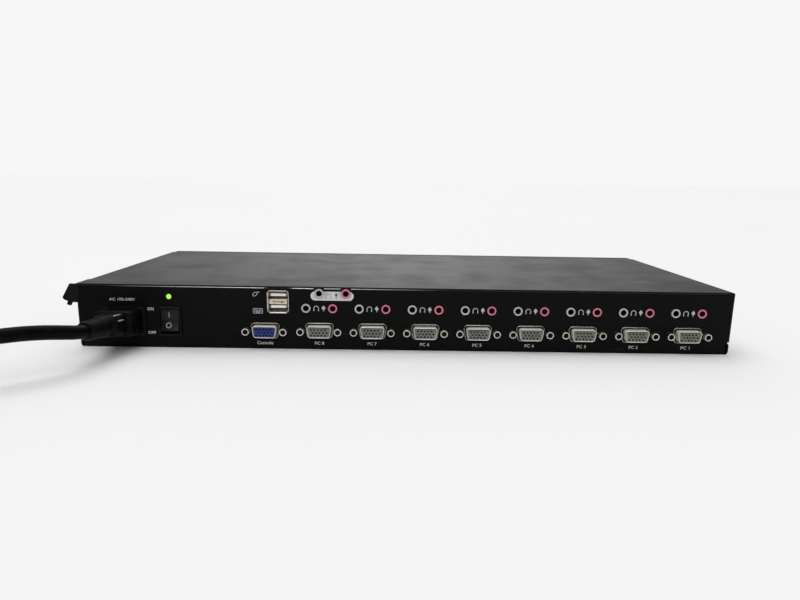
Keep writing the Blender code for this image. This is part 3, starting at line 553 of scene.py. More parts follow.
def video_shell(name, x, z, turns):
    """Rolled collar, a groove in near-black as painted shadow, D shell with a rolled lip in a lighter copy of
    the plating as painted highlight and its inner well in near-black as painted shade, flange and housing,
    and two jackscrews.
    """

    def ring(size, inset, out):
        return outwards(d_shape(x, z, scaled(size), inset * MM), out)

    bm = bmesh.new()
    housing = plate(x, z, 20.0, 11.6, 1.0)
    flange = plate(x, z, 30.6, 12.4, 1.5)
    rings = [at_y(housing, REAR + 14.0 * MM), at_y(housing, REAR + 2.1 * MM)]
    rings += [at_y(flange, REAR + 2.1 * MM), at_y(flange, REAR + 1.3 * MM)]
    collar = ((0.0, -1.3), (0.0, 0.20), (0.08, 0.42), (0.20, 0.54), (0.34, 0.54), (0.46, 0.42), (0.54, 0.2))
    rings += [ring(COLLAR, inset, out) for inset, out in collar]
    skin(bm, rings, 0, caps=False)
    # The groove between collar and shell takes the near-black material as painted shadow.
    groove = [ring(COLLAR, 0.54, out) for out in (0.2, -1.2)]
    groove += [ring(SHELL, 0.0, out) for out in (-1.2, 0.6)]
    skin(bm, groove, 1, caps=False)
    lip = ((0.0, 0.6), (0.0, 4.80), (0.08, 5.06), (0.26, 5.20), (0.42, 5.12), (0.52, 4.85), (0.55, 1.5))
    skin(bm, [ring(SHELL, inset, out) for inset, out in lip], 2, caps=False)
    # The shell's inner well takes the near-black material as painted shade.
    well = [ring(SHELL, 0.55, out) for out in (1.5, -2.0)]
    skin(bm, well, 1, caps=False)
    cap(bm, rings[0])
    cap(bm, well[-1], 1)
    for side, turn in zip((-1, 1), turns):
        jackscrew(bm, x + side * SCREW_PITCH / 2 * MM, z, turn)
    bmesh.ops.remove_doubles(bm, verts=bm.verts, dist=0.000002)
    piece(name, bm, [NICKEL, SHADE_AND_BLACK, LIP_HIGHLIGHT], [name.replace("_shell", "")])


def video_sockets():
    template = insert_mesh()
    chance = random.Random(4)
    for word in SOCKETS:
        centre = middle_of(f"{word}_video")
        turns = (chance.uniform(0, math.pi / 3), chance.uniform(0, math.pi / 3))
        video_shell(f"{word}_video_shell", centre.x, centre.z, turns)
        mesh = template.copy()
        mesh.transform(Matrix.Translation((centre.x, REAR, centre.z - INSERT_DROP * MM)))
        colour = BLUE if word == "console" else GREY
        show(f"{word}_video_insert", mesh, [colour, SHADE_AND_BLACK])


# ------------ 3.5 mm sockets

def jack_axis(node):
    """The x and z of a socket's bore; its square body may be cut off under the cover."""
    low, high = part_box(node)
    return (low.x + high.x) / 2, low.z + (high.x - low.x) / 2


def audio_socket(node, mat):
    """Round nose with a soft rim, and its bore and square body behind the wall in near-black as painted
    shade.
    """
    low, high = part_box(node)
    x, z = jack_axis(node)
    steps = 32
    half = (high.x - low.x) / 2
    square = []
    for px, pz in circle(0.0, 0.0, 1.0, steps, math.pi / steps):
        reach = half / max(abs(px), abs(pz))
        square.append((x + px * reach, min(z + pz * reach, high.z)))

    def round_at(levels):
        return [outwards(circle(x, z, radius * MM, steps, math.pi / steps), out) for radius, out in levels]

    bm = bmesh.new()
    skin(bm, [at_y(square, high.y), outwards(square, -1.3)] + round_at([(3.05, -1.3)]), 1, caps=False)
    skin(bm, round_at(((3.05, -1.3), (3.05, 0.38), (2.98, 0.54), (2.84, 0.60), (2.30, 0.60), (2.10, 0.50),
                       (1.98, 0.25))), 0, caps=False)
    # The bore takes the near-black material as painted shade.
    bore = round_at(((1.98, 0.25), (1.82, 0.0), (1.80, -0.4), (1.72, -0.5), (1.72, -8.0)))
    skin(bm, bore, 1, caps=False)
    for end in (at_y(square, high.y), bore[-1]):
        cap(bm, end, 1)
    bmesh.ops.remove_doubles(bm, verts=bm.verts, dist=0.00001)
    piece(node + "_nose", bm, [mat, SHADE_AND_BLACK], [node])


def audio_sockets():
    for word in SOCKETS:
        audio_socket(f"{word}_audio_out", GREEN_JACK)
        audio_socket(f"{word}_audio_mic", PINK_JACK)


# ------------ double USB socket

def flared_lip(bm, centre, along, outward, length, thickness):
    """A pressed lip that curls outwards from the mouth of a shell; along and outward lie in the panel."""
    curl = ((0.0, -0.6), (0.0, 0.3), (0.20, 0.75), (0.55, 1.1),
            (0.55 - thickness * 0.5, 1.1 + thickness * 0.4), (-0.1, 0.95),
            (-thickness, 0.4), (-thickness, -0.6))
    rings = []
    for side in (-1, 1):
        end = centre + along * (side * length / 2 * MM)
        rings.append([end + outward * (offset * MM) + Vector((0.0, -out * MM, 0.0)) for offset, out in curl])
    skin(bm, rings)


def usb_socket():
    low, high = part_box("usb_shell")
    centre = (low + high) / 2
    x, z = centre.x, centre.z
    width, height, sheet = 13.4, 14.4, 0.38
    bm = bmesh.new()
    outer = plate(x, z, width, height, 0.5, 3)
    inner = plate(x, z, width - 2 * sheet, height - 2 * sheet, 0.3, 3)
    skin(bm, [at_y(outer, high.y), outwards(outer, 0.2), outwards(inner, 0.2),
              at_y(inner, high.y - sheet * MM)])
    for side in (-1, 1):
        flared_lip(bm, Vector((x, REAR, z + side * height / 2 * MM)), Vector((1, 0, 0)), Vector((0, 0, side)),
                   width - 2.2, sheet)
        flared_lip(bm, Vector((x + side * width / 2 * MM, REAR, z)), Vector((0, 0, 1)), Vector((side, 0, 0)),
                   height - 2.0, sheet)
    piece("usb_shell_lips", bm, [NICKEL], ["usb_shell"])
    usb_inside(x, z, width / 2 - sheet - 0.3, high.y - (sheet + 0.3) * MM)


def usb_inside(x, z, half, stop):
    """Moulded block with two tongues and their contacts, the pressed bar between the ports and its slots."""
    bm = bmesh.new()
    reach = half * MM
    block(bm, (x - reach, REAR + 10 * MM, z - 6.4 * MM), (x + reach, stop, z + 6.4 * MM))
    for low in USB_TONGUES:
        block(bm, (x - reach + 0.8 * MM, REAR + 0.8 * MM, z + low * MM),
              (x + reach - 0.8 * MM, REAR + 10.5 * MM, z + (low + 1.8) * MM))
    bevelled(bm, 0.2 * MM)
    piece("usb_tongues", bm, [NYLON], ["usb_block"])
    bm = bmesh.new()
    for low in USB_TONGUES:
        for lane in (-3.5, -1.0, 1.0, 3.5):
            block(bm, (x + (lane - 0.5) * MM, REAR + 1.4 * MM, z + (low - 0.12) * MM),
                  (x + (lane + 0.5) * MM, REAR + 9.5 * MM, z + (low + 0.2) * MM))
    piece("usb_contacts", bm, [GOLD])
    bm = bmesh.new()
    block(bm, (x - reach, REAR - 0.2 * MM, z - 1.7 * MM), (x + reach, REAR + 9.8 * MM, z + 1.7 * MM))
    bevelled(bm, 0.3 * MM)
    slots = bmesh.new()
    for middle, wide in ((-2.9, 1.0), (-1.2, 0.7), (1.6, 3.4)):
        block(slots, (x + (middle - wide / 2) * MM, REAR - 1 * MM, z - 0.75 * MM),
              (x + (middle + wide / 2) * MM, REAR + 2.5 * MM, z + 0.25 * MM))
    show("usb_bar", cut(mesh_of("usb_bar", bm), mesh_of("slots", slots)), [BRASS])
    bm = bmesh.new()
    block(bm, (x - 9.2 * MM, REAR - 0.5 * MM, z + 8.1 * MM), (x + 9.2 * MM, REAR - 0.02 * MM, z + 9.3 * MM))
    bevelled(bm, 0.15 * MM)
    piece("usb_shield_tab", bm, [BLACK])


# ------------ switch and lamp

def tilted(pivot, y, z):
    """A point of the rocker at rest, from its untilted y and z in millimetres."""
    cos, sin = math.cos(ROCKER_TILT), math.sin(ROCKER_TILT)
    return pivot.y + (y * cos - z * sin) * MM, pivot.z + (y * sin + z * cos) * MM


def rocker_face(z):
    """How far the untilted rocker's face stands in front of its pivot, at a height in millimetres."""
    share = abs(z) / 7.8
    return -2.2 - 1.25 * share ** 1.6


def rocker_switch():
    low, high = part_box("rocker_frame")
    centre = (low + high) / 2
    x, z = centre.x, centre.z
    bm = bmesh.new()
    neck = plate(x, z, 14.0, 18.8, 0.8, 4)
    rings = [at_y(neck, high.y), outwards(neck, 0.3)]
    for grow, out in ((0.0, 0.3), (0.0, 1.15), (-0.25, 1.55), (-0.65, 1.80)):
        rings.append(outwards(plate(x, z, 15.2 + 2 * grow, 20.0 + 2 * grow, 1.0, 4), out))
    for grow, out in ((0.20, 1.80), (0.0, 1.5), (0.0, -8.0)):
        rings.append(outwards(plate(x, z, 13.2 + 2 * grow, 17.0 + 2 * grow, 0.8, 4), out))
    skin(bm, rings)
    piece("switch_frame", bm, [BLACK], ["rocker_frame"])

    pivot = Vector((x, REAR + 1.2 * MM, z))
    heights = [-6.95 + 14.7 * i / 16 for i in range(17)]
    face = [tilted(pivot, rocker_face(h), h) for h in reversed(heights)]
    back = [tilted(pivot, y, h) for y, h in ((1.0, -6.5), (5.0, -2.4), (5.0, 2.4), (1.0, 7.2))]
    profile = face + back
    half = 6.1 * MM
    bm = bmesh.new()
    skin(bm, [[Vector((side, y, h)) for y, h in profile] for side in (x - half, x + half)])
    bevelled(bm, 0.35 * MM, 30, 3)
    piece("rocker_paddle", bm, [ROCKER], ["rocker"], "rocker", 45)
    rocker_marks(pivot, x)


def rocker_marks(pivot, x):
    """The I and O printed on the two halves of the rocker."""
    bm = bmesh.new()
    lift, thick = 0.03, 0.05

    def on_face(px, h, depth):
        y, height = tilted(pivot, rocker_face(h) - depth, h)
        return Vector((px, y, height))

    bar = [(-0.53, 2.3), (-0.27, 2.3), (-0.27, 5.9), (-0.53, 5.9)]
    skin(bm, [[on_face(x + px * MM, h, depth) for px, h in bar] for depth in (lift, lift + thick)])
    rings = []
    for radius, depth in ((1.76, lift), (1.76, lift + thick), (1.46, lift + thick), (1.46, lift)):
        rings.append([on_face(x + px * MM, h - 3.0, depth) for px, h in circle(-0.6, 0.0, radius, 32)])
    skin(bm, rings, closed=True)
    piece("rocker_marks", bm, [INK], body="rocker")


def power_lamp():
    """Domed lens in a thin dark bezel, on the foot that holds it behind the wall."""
    low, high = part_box("power_lamp")
    centre = (low + high) / 2
    bm = bmesh.new()
    bezel = [(2.9 * MM, high.y)]
    for radius, out in ((2.9, -1.7), (2.15, -1.7), (2.15, 0.1), (1.75, 0.1)):
        bezel.append((radius * MM, REAR - out * MM))
    lathe(bm, centre.x, centre.z, bezel, mat=1)
    dome = [(LENS_R, REAR)]
    for step in range(1, 9):
        a = math.radians(11 * step)
        dome.append((LENS_R * math.cos(a), REAR - 0.85 * MM * math.sin(a)))
    lathe(bm, centre.x, centre.z, dome)
    piece("lamp_lens", bm, [LAMP, SHADE_AND_BLACK], ["power_lamp"], sharp=60)


# ------------ printing on the panels

INK_LIFT = 0.03 * MM
INK_THICK = 0.05 * MM


def print_outline(bm, outline, y=REAR):
    """A thin film of ink with this outline, just outside the plane y of the rear panel."""
    skin(bm, [at_y(outline, y - INK_LIFT), at_y(outline, y - (INK_LIFT + INK_THICK))])


def print_band(bm, outer, inner):
    """A closed band of ink between two outlines with the same number of points."""
    near, far = REAR - INK_LIFT, REAR - (INK_LIFT + INK_THICK)
    skin(bm, [at_y(outer, near), at_y(outer, far), at_y(inner, far), at_y(inner, near)], closed=True)


def print_text(bm, text, span, y=REAR, side=-1):
    """Lettering that fills span, which is (left, low, right, high) in millimetres as its reader sees it."""
    curve = bpy.data.curves.new("lettering", "FONT")
    curve.body = text
    curve.extrude = 0.5
    curve.offset = LETTER_WEIGHT
    curve.resolution_u = 3
    obj = placed("lettering", curve)
    mesh = bpy.data.meshes.new_from_object(obj.evaluated_get(bpy.context.evaluated_depsgraph_get()))
    bpy.data.objects.remove(obj)
    xs = [vert.co.x for vert in mesh.vertices]
    ys = [vert.co.y for vert in mesh.vertices]
    left, low, right, high = (value * MM for value in span)
    for vert in mesh.vertices:
        across = left + (vert.co.x - min(xs)) / (max(xs) - min(xs)) * (right - left)
        up = low + (vert.co.y - min(ys)) / (max(ys) - min(ys)) * (high - low)
        depth = y + side * (INK_LIFT + INK_THICK * (vert.co.z + 0.5))
        vert.co = (across * -side, depth, up)
    bm.from_mesh(mesh)
    bpy.data.meshes.remove(mesh)


def arc(x, z, radius, first, last, steps=14):
    turns = [math.radians(first + (last - first) * i / steps) for i in range(steps + 1)]
    return [(x + radius * math.cos(a), z + radius * math.sin(a)) for a in turns]


def print_headphones(bm, x, z, size):
    """A headband with two ear cushions; size is half its width."""
    print_outline(bm, arc(x, z, size, -25, 205) + arc(x, z, size * 0.74, 205, -25))
    for side in (-1, 1):
        print_outline(bm, rectangle(x + side * size * 0.82, z - size * 0.66, size * 0.36, size * 0.62,
                                    size * 0.16, 3))


def print_microphone(bm, x, z, size):
    """A pointed capsule on a short stand; size is half its height."""
    half = [(0.12, -1.0), (0.12, -0.55), (0.38, -0.30), (0.66, 0.12), (0.46, 0.52), (0.16, 0.95)]
    outline = half + [(-across, up) for across, up in reversed(half)]
    print_outline(bm, [(x + across * size, z + up * size) for across, up in outline])


def print_mouse(bm):
    """A mouse seen from above with its cable."""
    turn = math.radians(35)

    def oval(a, b):
        points = []
        for px, pz in circle(0.0, 0.0, 1.0, 24):
            px, pz = px * a, pz * b
            points.append(((-101.9 + px * math.cos(turn) - pz * math.sin(turn)) * MM,
                           (37.5 + px * math.sin(turn) + pz * math.cos(turn)) * MM))
        return points

    print_band(bm, oval(1.85, 1.25), oval(1.42, 0.88))
    tail = [(-101.1, 38.6), (-100.4, 39.1), (-98.9, 39.1), (-98.9, 38.7), (-100.2, 38.7), (-100.8, 38.2)]
    print_outline(bm, [scaled(point) for point in tail])


def print_keyboard(bm):
    """A keyboard: a frame, two rows of keys and a long key."""
    x, z = -100.3 * MM, 26.1 * MM
    print_band(bm, plate(x, z, 6.4, 3.5, 0.3, 2), plate(x, z, 5.7, 2.8, 0.2, 2))
    for row in (0.55, -0.15):
        for column in range(5):
            print_outline(bm, plate(x + (column - 2) * MM, z + row * MM, 0.7, 0.45, 0.1, 1))
    print_outline(bm, plate(x, z - 0.85 * MM, 2.9, 0.4, 0.1, 1))


def rear_printing():
    """Port names, switch and supply lettering, and the icons by the sockets."""
    bm = bmesh.new()
    print_text(bm, "AC 100-240V", (-198.6, 31.8, -181.5, 33.7))
    print_text(bm, "ON", (-173.8, 25.4, -169.6, 27.5))
    print_text(bm, "OFF", (-174.3, 9.2, -168.9, 11.2))
    piece("power_printing", bm, [INK])
    bm = bmesh.new()
    print_text(bm, "Console", (-101.4, 3.0, -90.6, 5.3))
    for port in range(1, PORTS + 1):
        centre = middle_of(f"pc{port}_video").x / MM
        print_text(bm, f"PC {port}", (centre - 3.2, 3.2, centre + 3.0, 5.4))
    piece("port_printing", bm, [INK])
    bm = bmesh.new()
    print_mouse(bm)
    print_keyboard(bm)
    for port in range(1, PORTS + 1):
        jack, mic = middle_of(f"pc{port}_audio_out"), middle_of(f"pc{port}_audio_mic")
        gap = mic.x - jack.x
        print_headphones(bm, jack.x + gap * 0.385, jack.z, 1.85 * MM)
        print_microphone(bm, jack.x + gap * 0.66, jack.z, 1.95 * MM)
    piece("icon_printing", bm, [ICON_INK])


def console_pill():
    """The pale rounded field round the console's audio sockets, with its own icons."""
    band_x, mic_x = -53.0, -47.95 * MM
    bm = bmesh.new()
    print_outline(bm, plate(-50.65 * MM, 36.85 * MM, 28.7, 6.1, 3.04, 12))
    body = mesh_of("console_field", bm)
    holes = bmesh.new()
    for word in ("out", "mic"):
        through = [(3.1 * MM, REAR - 1 * MM), (3.1 * MM, REAR + 1 * MM)]
        lathe(holes, *jack_axis(f"console_audio_{word}"), through)
    show("console_field", cut(body, mesh_of("field_holes", holes)), [PILL_INK])
    bm = bmesh.new()
    lifted = REAR - INK_THICK
    outer = arc(band_x * MM, 36.7 * MM, 1.9 * MM, -25, 205)
    inner = arc(band_x * MM, 36.7 * MM, 1.5 * MM, 205, -25)
    print_outline(bm, outer + inner, lifted)
    for side in (-1, 1):
        print_outline(bm, plate((band_x + side * 1.6) * MM, 35.4 * MM, 0.7, 1.3, 0.3, 3), lifted)
    piece("console_headphones", bm, [FAINT_INK])
    bm = bmesh.new()
    print_outline(bm, plate(mic_x, 37.6 * MM, 1.3, 2.3, 0.6, 4), lifted)
    print_outline(bm, plate(mic_x, 35.5 * MM, 0.5, 0.9, 0.1, 2), lifted)
    piece("console_microphone", bm, [BLACK_INK])


def fold_highlight_line():
    """A painted highlight line on the wall's upper fold, broken over the USB and console audio sockets."""
    bm = bmesh.new()
    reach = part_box("base_tray")[1].x - 3.0 * MM
    usb = middle_of("usb_shell").x
    breaks = [(usb - 7.4 * MM, usb + 7.4 * MM)]
    for word in ("out", "mic"):
        jack = middle_of(f"console_audio_{word}").x
        breaks.append((jack - 3.5 * MM, jack + 3.5 * MM))
    starts = [-reach] + [last for _, last in breaks]
    ends = [first for first, _ in breaks] + [reach]
    # Thin strips just off the wall under the cover's edge carry the painted highlight.
    for start, end in zip(starts, ends):
        block(bm, (start, REAR - 0.16 * MM, TOP - 1.42 * MM), (end, REAR - 0.02 * MM, TOP - 1.03 * MM))
    piece("fold_highlight_line", bm, [FOLD_HIGHLIGHT])


# ------------ front panel and screws

def front_controls():
    """Dished button caps, two lamps over each, and the numbers under them."""
    lamps = bmesh.new()
    numbers = bmesh.new()
    for index in range(1, BUTTONS + 1):
        low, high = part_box(f"button_{index}")
        x, z = (low.x + high.x) / 2, (low.z + high.z) / 2
        bm = bmesh.new()
        rings = []
        behind = FRONT - 2.8 * MM
        for w, h, y in ((4.0, 4.0, low.y), (4.0, 4.0, behind - 1 * MM), (14.0, 9.0, behind - 1 * MM),
                        (14.0, 9.0, behind), (12.0, 7.0, behind), (12.0, 7.0, high.y - 0.7 * MM),
                        (11.7, 6.7, high.y - 0.3 * MM), (11.1, 6.1, high.y - 0.05 * MM), (10.4, 5.4, high.y),
                        (8.0, 3.6, high.y - 0.25 * MM), (4.0, 1.6, high.y - 0.4 * MM)):
            rings.append(at_y(plate(x, z, w, h, min(w, h) * 0.2, 4), y))
        skin(bm, rings)
        button = f"button_{index}"
        piece(f"button_cap_{index}", bm, [BUTTON], [button], button)
        for side in (-1, 1):
            profile = [(1.0, -0.4), (1.0, 0.0)]
            for a in (math.radians(15 * i) for i in range(1, 6)):
                profile.append((math.cos(a), 0.5 * math.sin(a)))
            lathe(lamps, x + side * 3.2 * MM, z + 8.5 * MM,
                  [(r * MM, FRONT + out * MM) for r, out in profile], 20)
        across = -x / MM
        print_text(numbers, str(BUTTONS + 1 - index), (across - 0.9, 12.0, across + 0.9, 15.0), FRONT, 1)
    piece("front_lamps", lamps, [GREEN_JACK])
    piece("front_numbers", numbers, [INK])


def side_screw(index):
    """Flush countersunk head with a cross recess, and its shank."""
    node = f"cover_screw_{index}"
    low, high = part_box(node)
    side = 1 if low.x > 0 else -1
    y, z = (low.y + high.y) / 2, (low.z + high.z) / 2
    face, root = (high.x, low.x) if side > 0 else (low.x, high.x)

    def ring(outline, depth):
        return [Vector((face - side * depth * MM, y + a * MM, z + b * MM)) for a, b in outline]

    bm = bmesh.new()
    levels = ((1.35, abs(face - root) / MM), (1.35, 1.25), (2.52, 0.10), (2.50, 0.03), (2.42, 0.0))
    skin(bm, [ring(circle(0.0, 0.0, radius, 32), depth) for radius, depth in levels])
    body = mesh_of(node, bm)
    arm, half = 1.45, 0.34
    plus = [(arm, -half), (arm, half), (half, half), (half, arm), (-half, arm), (-half, half)]
    plus += [(-a, -b) for a, b in plus]
    recess = bmesh.new()
    skin(recess, [ring(plus, -0.5), ring([(a * 0.7, b * 0.7) for a, b in plus], 0.9)])
    headed = cut(body, mesh_of("recess", recess))
    show(f"side_screw_{index}", headed, [ZINC], stands_for=[node])


# ------------ mains lead

def smooth_route(points, spacing):
    """Points along a Catmull-Rom curve through the given ones."""
    knots = [Vector(point) for point in points]
    knots = [knots[0] * 2 - knots[1]] + knots + [knots[-1] * 2 - knots[-2]]
    path = []
    for a, b, c, d in zip(knots, knots[1:], knots[2:], knots[3:]):
        steps = max(1, round((c - b).length / spacing))
        for step in range(steps):
            t = step / steps
            bent = (2 * b + (c - a) * t + (2 * a - 5 * b + 4 * c - d) * t * t
                    + (3 * b - a - 3 * c + d) * t * t * t)
            path.append(bent / 2)
    path.append(knots[-2])
    return path


def eased(value, low, high):
    share = min(1.0, max(0.0, (value - low) / (high - low)))
    return share * share * (3 - 2 * share)


def coil_path():
    """A spiral inwards on the floor, up onto itself and outwards again; clockwise from the south point."""
    inmost, climb, landed, last = 780, 700, 820, 1530
    outer = COIL_RADIUS + CORD_D
    step = 360 / POINTS_PER_TURN
    path = []
    for i in range(int(last / step) + 1):
        turn = i * step
        share = min(turn, inmost) / inmost - max(0.0, turn - landed) / (last - landed)
        radius = outer - CORD_D * inmost / 360 * share
        z = FLOOR_GAP + CORD_D / 2 + CORD_D * eased(turn, climb, landed)
        a = math.radians(-90 - turn)
        path.append(Vector((COIL_CENTRE[0] + radius * math.cos(a),
                            COIL_CENTRE[1] + radius * math.sin(a), z)))
    return path


def lead_path():
    coil = coil_path()
    plug_low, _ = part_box("wall_plug")
    tail = coil[-1]
    steps = 3
    straight = [Vector((tail.x, tail.y + (plug_low.y + 2 * MM - tail.y) * (i + 1) / steps, tail.z))
                for i in range(steps)]
    run = smooth_route(ROUTE, 2 * CORD_D)
    joined = (run[-1] + coil[0]) / 2
    return run + [joined] + coil + straight


def length_of(path):
    return sum((b - a).length for a, b in zip(path, path[1:]))


def mains_cord():
    path = lead_path()
    curve = bpy.data.curves.new("mains_cord", "CURVE")
    curve.dimensions = "3D"
    curve.bevel_depth = CORD_D / 2
    curve.bevel_resolution = 6
    curve.resolution_u = 4
    curve.use_fill_caps = True
    spline = curve.splines.new("BEZIER")
    spline.bezier_points.add(len(path) - 1)
    for point, where in zip(spline.bezier_points, path):
        point.co = where
        point.handle_left_type = point.handle_right_type = "AUTO"
    cord = show("mains_cord", curve, [RUBBER], stands_for=["cord_run", "cord_coil"])
    return cord, length_of(path)


def grip_ring(start, end, share, width, height, radius, steps=6):
    """A ring of a tapering grip at a share of the way from start to end, turning from -Y to the end."""
    middle = start.lerp(end, share)
    turned = min(1.0, max(0.0, 4 * share))
    facing = Vector((0.0, -1.0, 0.0)).lerp((end - start).normalized(), turned).normalized()
    right = (Vector((1.0, 0.0, 0.0)) - facing * facing.x).normalized()
    up = facing.cross(right)
    outline = rectangle(0.0, 0.0, width * MM, height * MM, radius * MM, steps)
    return [middle + right * x + up * z for x, z in outline]


def inlet_plug():
    """Moulded plug: nose in the inlet, wide collar, grip with two thin light-grey ribs as painted highlights
    along its edges, barrel and ribbed strain relief.
    """
    inlet = middle_of("mains_inlet")
    start = Vector((inlet.x, REAR - 1.5 * MM, inlet.z))
    end = Vector(ROUTE[0])
    sections = [
        (0.00, 23.7, 16.0, 2.0),
        (0.015, 24.5, 16.8, 2.2),
        (0.27, 24.2, 16.4, 2.5),
        (0.295, 23.2, 15.4, 2.5),
        (0.30, 17.6, 14.7, 3.0),
        (0.33, 17.0, 14.5, 3.0),
        (0.50, 16.0, 14.1, 3.8),
        (0.53, 15.2, 13.8, 4.6),
        (0.555, 13.4, 13.4, 6.2),
        (0.62, 13.2, 13.2, 6.2),
        (0.64, 13.2, 13.2, 6.2),
        (0.655, 12.8, 12.8, 6.0),
    ]
    for rib in range(6):
        share = 0.68 + rib * 0.045
        size = 12.8 - rib * 0.10
        for further, less, corner in ((0.0, 0.0, 0.48), (0.026, 0.0, 0.48), (0.030, 0.9, 0.43),
                                      (0.041, 0.9, 0.43)):
            sections.append((share + further, size - less, size - less, size * corner))
    sections += [(0.96, 11.9, 11.9, 5.7), (0.985, 11.4, 11.4, 5.5), (1.0, 10.2, 10.2, 4.9),
                 (1.004, 8.8, 8.8, 4.2)]
    bm = bmesh.new()
    nose = plate(inlet.x, inlet.z, 22.2, 15.0, 0.9, 6)
    rings = [at_y(nose, REAR + 13.5 * MM), at_y(nose, start.y)]
    rings += [grip_ring(start, end, share, w, h, r) for share, w, h, r in sections]
    skin(bm, rings)
    # Two thin light-grey rods on the grip's upper right shoulder: painted highlights along its edges.
    ribs = bmesh.new()
    for across, up, first, last in ((6.3, 6.7, 0.34, 0.52), (8.3, 3.4, 0.36, 0.50)):
        a = start.lerp(end, first) + Vector((across * MM, 0.0, up * MM))
        b = start.lerp(end, last) + Vector(((across - 0.45) * MM, 0.0, (up - 0.15) * MM))
        rod = []
        for share in (0.0, 0.1, 0.9, 1.0):
            size = 0.25 if share in (0.0, 1.0) else 0.5
            here = a.lerp(b, share)
            rod.append([here + Vector((px, 0.0, pz)) for px, pz in circle(0.0, 0.0, size * MM, 10)])
        skin(ribs, rod)
    return [piece("inlet_plug", bm, [PLUG_RUBBER], ["cord_plug"], sharp=32),
            piece("plug_rib_highlights", ribs, [RIB_HIGHLIGHT])]


def wall_plug():
    """Three-pin plug with a ribbed strain relief, a finger grip on each side and bright pins."""
    low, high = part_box("wall_plug")
    tail = coil_path()[-1]
    x, z = tail.x, tail.z
    first = low.y
    sections = [(0.0, 9.6, 9.6, 4.6)]
    for rib in range(6):
        size = 10.6 + rib * 0.35
        along = 1.0 + rib * 3.6
        for forward, less, corner in ((0.0, 0.0, 0.48), (2.2, 0.0, 0.48), (2.5, 0.9, 0.43), (3.3, 0.9, 0.43)):
            sections.append((along + forward, size - less, size - less, size * corner))
    sections += [(24.0, 13.0, 13.0, 6.0), (26.0, 15.0, 14.6, 6.0), (28.5, 19.0, 18.0, 6.0),
                 (34.0, 21.6, 20.0, 5.4), (40.0, 22.4, 20.8, 5.2), (46.0, 24.0, 22.0, 5.0),
                 (54.0, 24.5, 22.2, 4.6), (57.5, 24.5, 22.2, 4.4), (58.6, 23.8, 21.5, 4.2),
                 (59.0, 22.6, 20.4, 4.0)]
    bm = bmesh.new()
    skin(bm, [at_y(plate(x, z, w, h, r, 6), first + along * MM) for along, w, h, r in sections])
    for side in (-1, 1):
        for step in range(4):
            along = first + (36.0 + 3.2 * step) * MM
            block(bm, (x + side * 11.2 * MM - 0.5 * MM, along, z - 5 * MM),
                  (x + side * 11.2 * MM + 0.5 * MM, along + 1.4 * MM, z + 5 * MM))
    body = piece("wall_plug_body", bm, [PLUG_RUBBER], ["wall_plug"], sharp=32)
    bm = bmesh.new()
    for side in (-1, 1):
        block(bm, (x + (side * 6.35 - 0.75) * MM, first + 58 * MM, z - 0.2 * MM),
              (x + (side * 6.35 + 0.75) * MM, first + 77 * MM, z + 6.2 * MM))
    bevelled(bm, 0.3 * MM)
    lathe(bm, x, z - 5.0 * MM, [(2.4 * MM, first + 58 * MM), (2.4 * MM, first + 76.5 * MM),
                                (1.9 * MM, first + 78.2 * MM), (1.0 * MM, high.y)])
    return [body, piece("wall_plug_pins", bm, [BRIGHT])]


def coil_tie():
    """A soft tie round the coil's bundle at its far side."""
    bm = bmesh.new()
    centre = Vector((COIL_CENTRE[0], COIL_CENTRE[1] + COIL_RADIUS, FLOOR_GAP + CORD_D))
    width, height, wall = 3 * CORD_D + 0.8 * MM, 2 * CORD_D + 0.8 * MM, 0.9 * MM
    rings = []
    for grow, along in ((wall, -6.0), (wall, 6.0), (0.0, 6.0), (0.0, -6.0)):
        outline = rectangle(0.0, 0.0, width + 2 * grow, height + 2 * grow, 4.0 * MM + grow, 8)
        lowest = -centre.z + 0.05 * MM * (1 if grow else 4)
        rings.append([centre + Vector((along * MM, across, max(up, lowest))) for across, up in outline])
    skin(bm, rings, closed=True)
    return piece("coil_tie", bm, [PLUG_RUBBER], sharp=50)


def mains_lead():
    cord, length = mains_cord()
    inlet_plug() + wall_plug() + [coil_tie()]


# ------------ camera, floor and light

BACKDROP = 0.93


def camera():
    data = bpy.data.cameras.new("camera")
    data.sensor_fit = "HORIZONTAL"
    data.sensor_width = SENSOR
    data.lens = CAMERA_LENS
    obj = placed("camera", data)
    backwards = CAMERA_RIGHT.cross(CAMERA_UP)
    turned = Matrix((CAMERA_RIGHT, CAMERA_UP, backwards)).transposed().to_4x4()
    obj.matrix_world = Matrix.Translation(CAMERA_PLACE) @ turned
    bpy.context.scene.camera = obj


def floor():
    bm = bmesh.new()
    reach = 40.0
    cap(bm, [(x, y, 0.0) for x, y in ((-reach, -reach), (reach, -reach), (reach, reach), (-reach, reach))])
    mesh = bpy.data.meshes.new("floor")
    bm.to_mesh(mesh)
    bm.free()
    s = Surface("floor_paper", (0.88, 0.88, 0.88), 0.9)
    tone = s.span(s.noise(0.4, 2.0), 0.3, 0.7)
    mesh.materials.append(s.done(s.mixed(tone, (0.875, 0.875, 0.875), (0.885, 0.885, 0.885))))
    placed("floor", mesh)


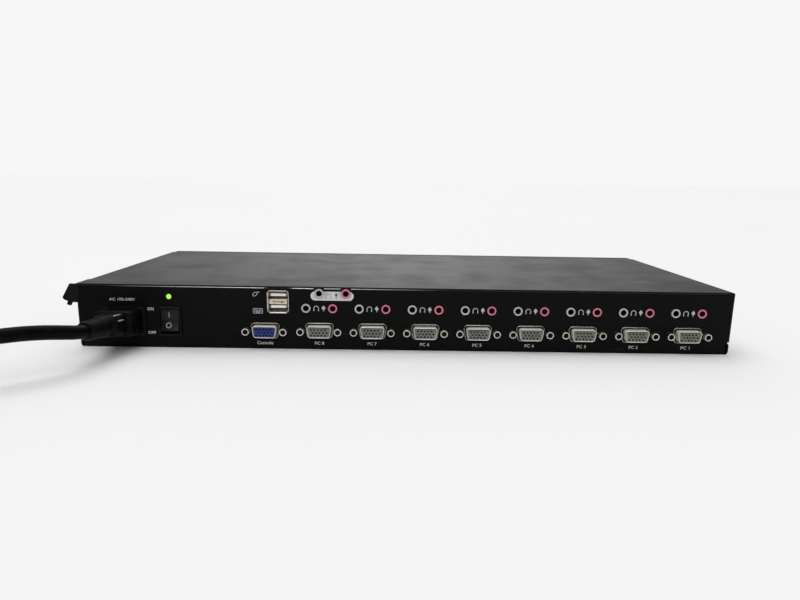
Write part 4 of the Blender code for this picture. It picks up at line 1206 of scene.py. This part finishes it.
def soft_sun(name, place, strength, angle):
    """A wide, even light from the direction of place."""
    data = bpy.data.lights.new(name, "SUN")
    data.energy = strength
    data.angle = math.radians(angle)
    obj = placed(name, data)
    obj.rotation_mode = "QUATERNION"
    obj.rotation_quaternion = (-Vector(place)).to_track_quat("-Z", "Y")


def sky():
    """A pale surround: bright behind the case, dim in front and at the sides, and even where it is seen."""
    world = bpy.data.worlds.new("studio")
    bpy.context.scene.world = world
    world.use_nodes = True
    tree = world.node_tree

    def spread(source, *ends, smooth=False):
        made = tree.nodes.new("ShaderNodeMapRange")
        if smooth:
            made.interpolation_type = "SMOOTHSTEP"
        tree.links.new(source, made.inputs["Value"])
        for word, value in zip(("From Min", "From Max", "To Min", "To Max"), ends):
            made.inputs[word].default_value = value
        return made.outputs["Result"]

    def maths(operation, *sources):
        made = tree.nodes.new("ShaderNodeMath")
        made.operation = operation
        for source, target in zip(sources, made.inputs):
            tree.links.new(source, target)
        return made.outputs[0]

    parts = tree.nodes.new("ShaderNodeSeparateXYZ")
    tree.links.new(tree.nodes.new("ShaderNodeTexCoord").outputs["Generated"], parts.inputs[0])
    ahead = spread(parts.outputs["Y"], -0.5, 0.6, 0.25, 1.40, smooth=True)
    aside = spread(maths("ABSOLUTE", parts.outputs["X"]), 0.02, 0.52, 1.0, 0.35)
    mix = tree.nodes.new("ShaderNodeMix")
    mix.data_type = "FLOAT"
    tree.links.new(tree.nodes.new("ShaderNodeLightPath").outputs["Is Camera Ray"], mix.inputs[0])
    tree.links.new(maths("MULTIPLY", ahead, aside), mix.inputs[2])
    mix.inputs[3].default_value = BACKDROP
    background = tree.nodes["Background"]
    background.inputs["Color"].default_value = (1.0, 1.0, 1.0, 1.0)
    tree.links.new(mix.outputs[0], background.inputs["Strength"])


def studio():
    sky()
    floor()
    soft_sun("overhead", (-0.4, 0.2, 1.5), 1.1, 50)
    soft_sun("front", (0.15, -1.6, 1.5), 1.2, 50)
    view = bpy.context.scene.view_settings
    view.view_transform = "Standard"
    view.look = "None"


refinish()
mains_lead()
video_sockets()
audio_sockets()
usb_socket()
rocker_switch()
power_lamp()
rear_printing()
console_pill()
fold_highlight_line()
front_controls()
for screw in range(1, 5):
    side_screw(screw)
camera()
studio()
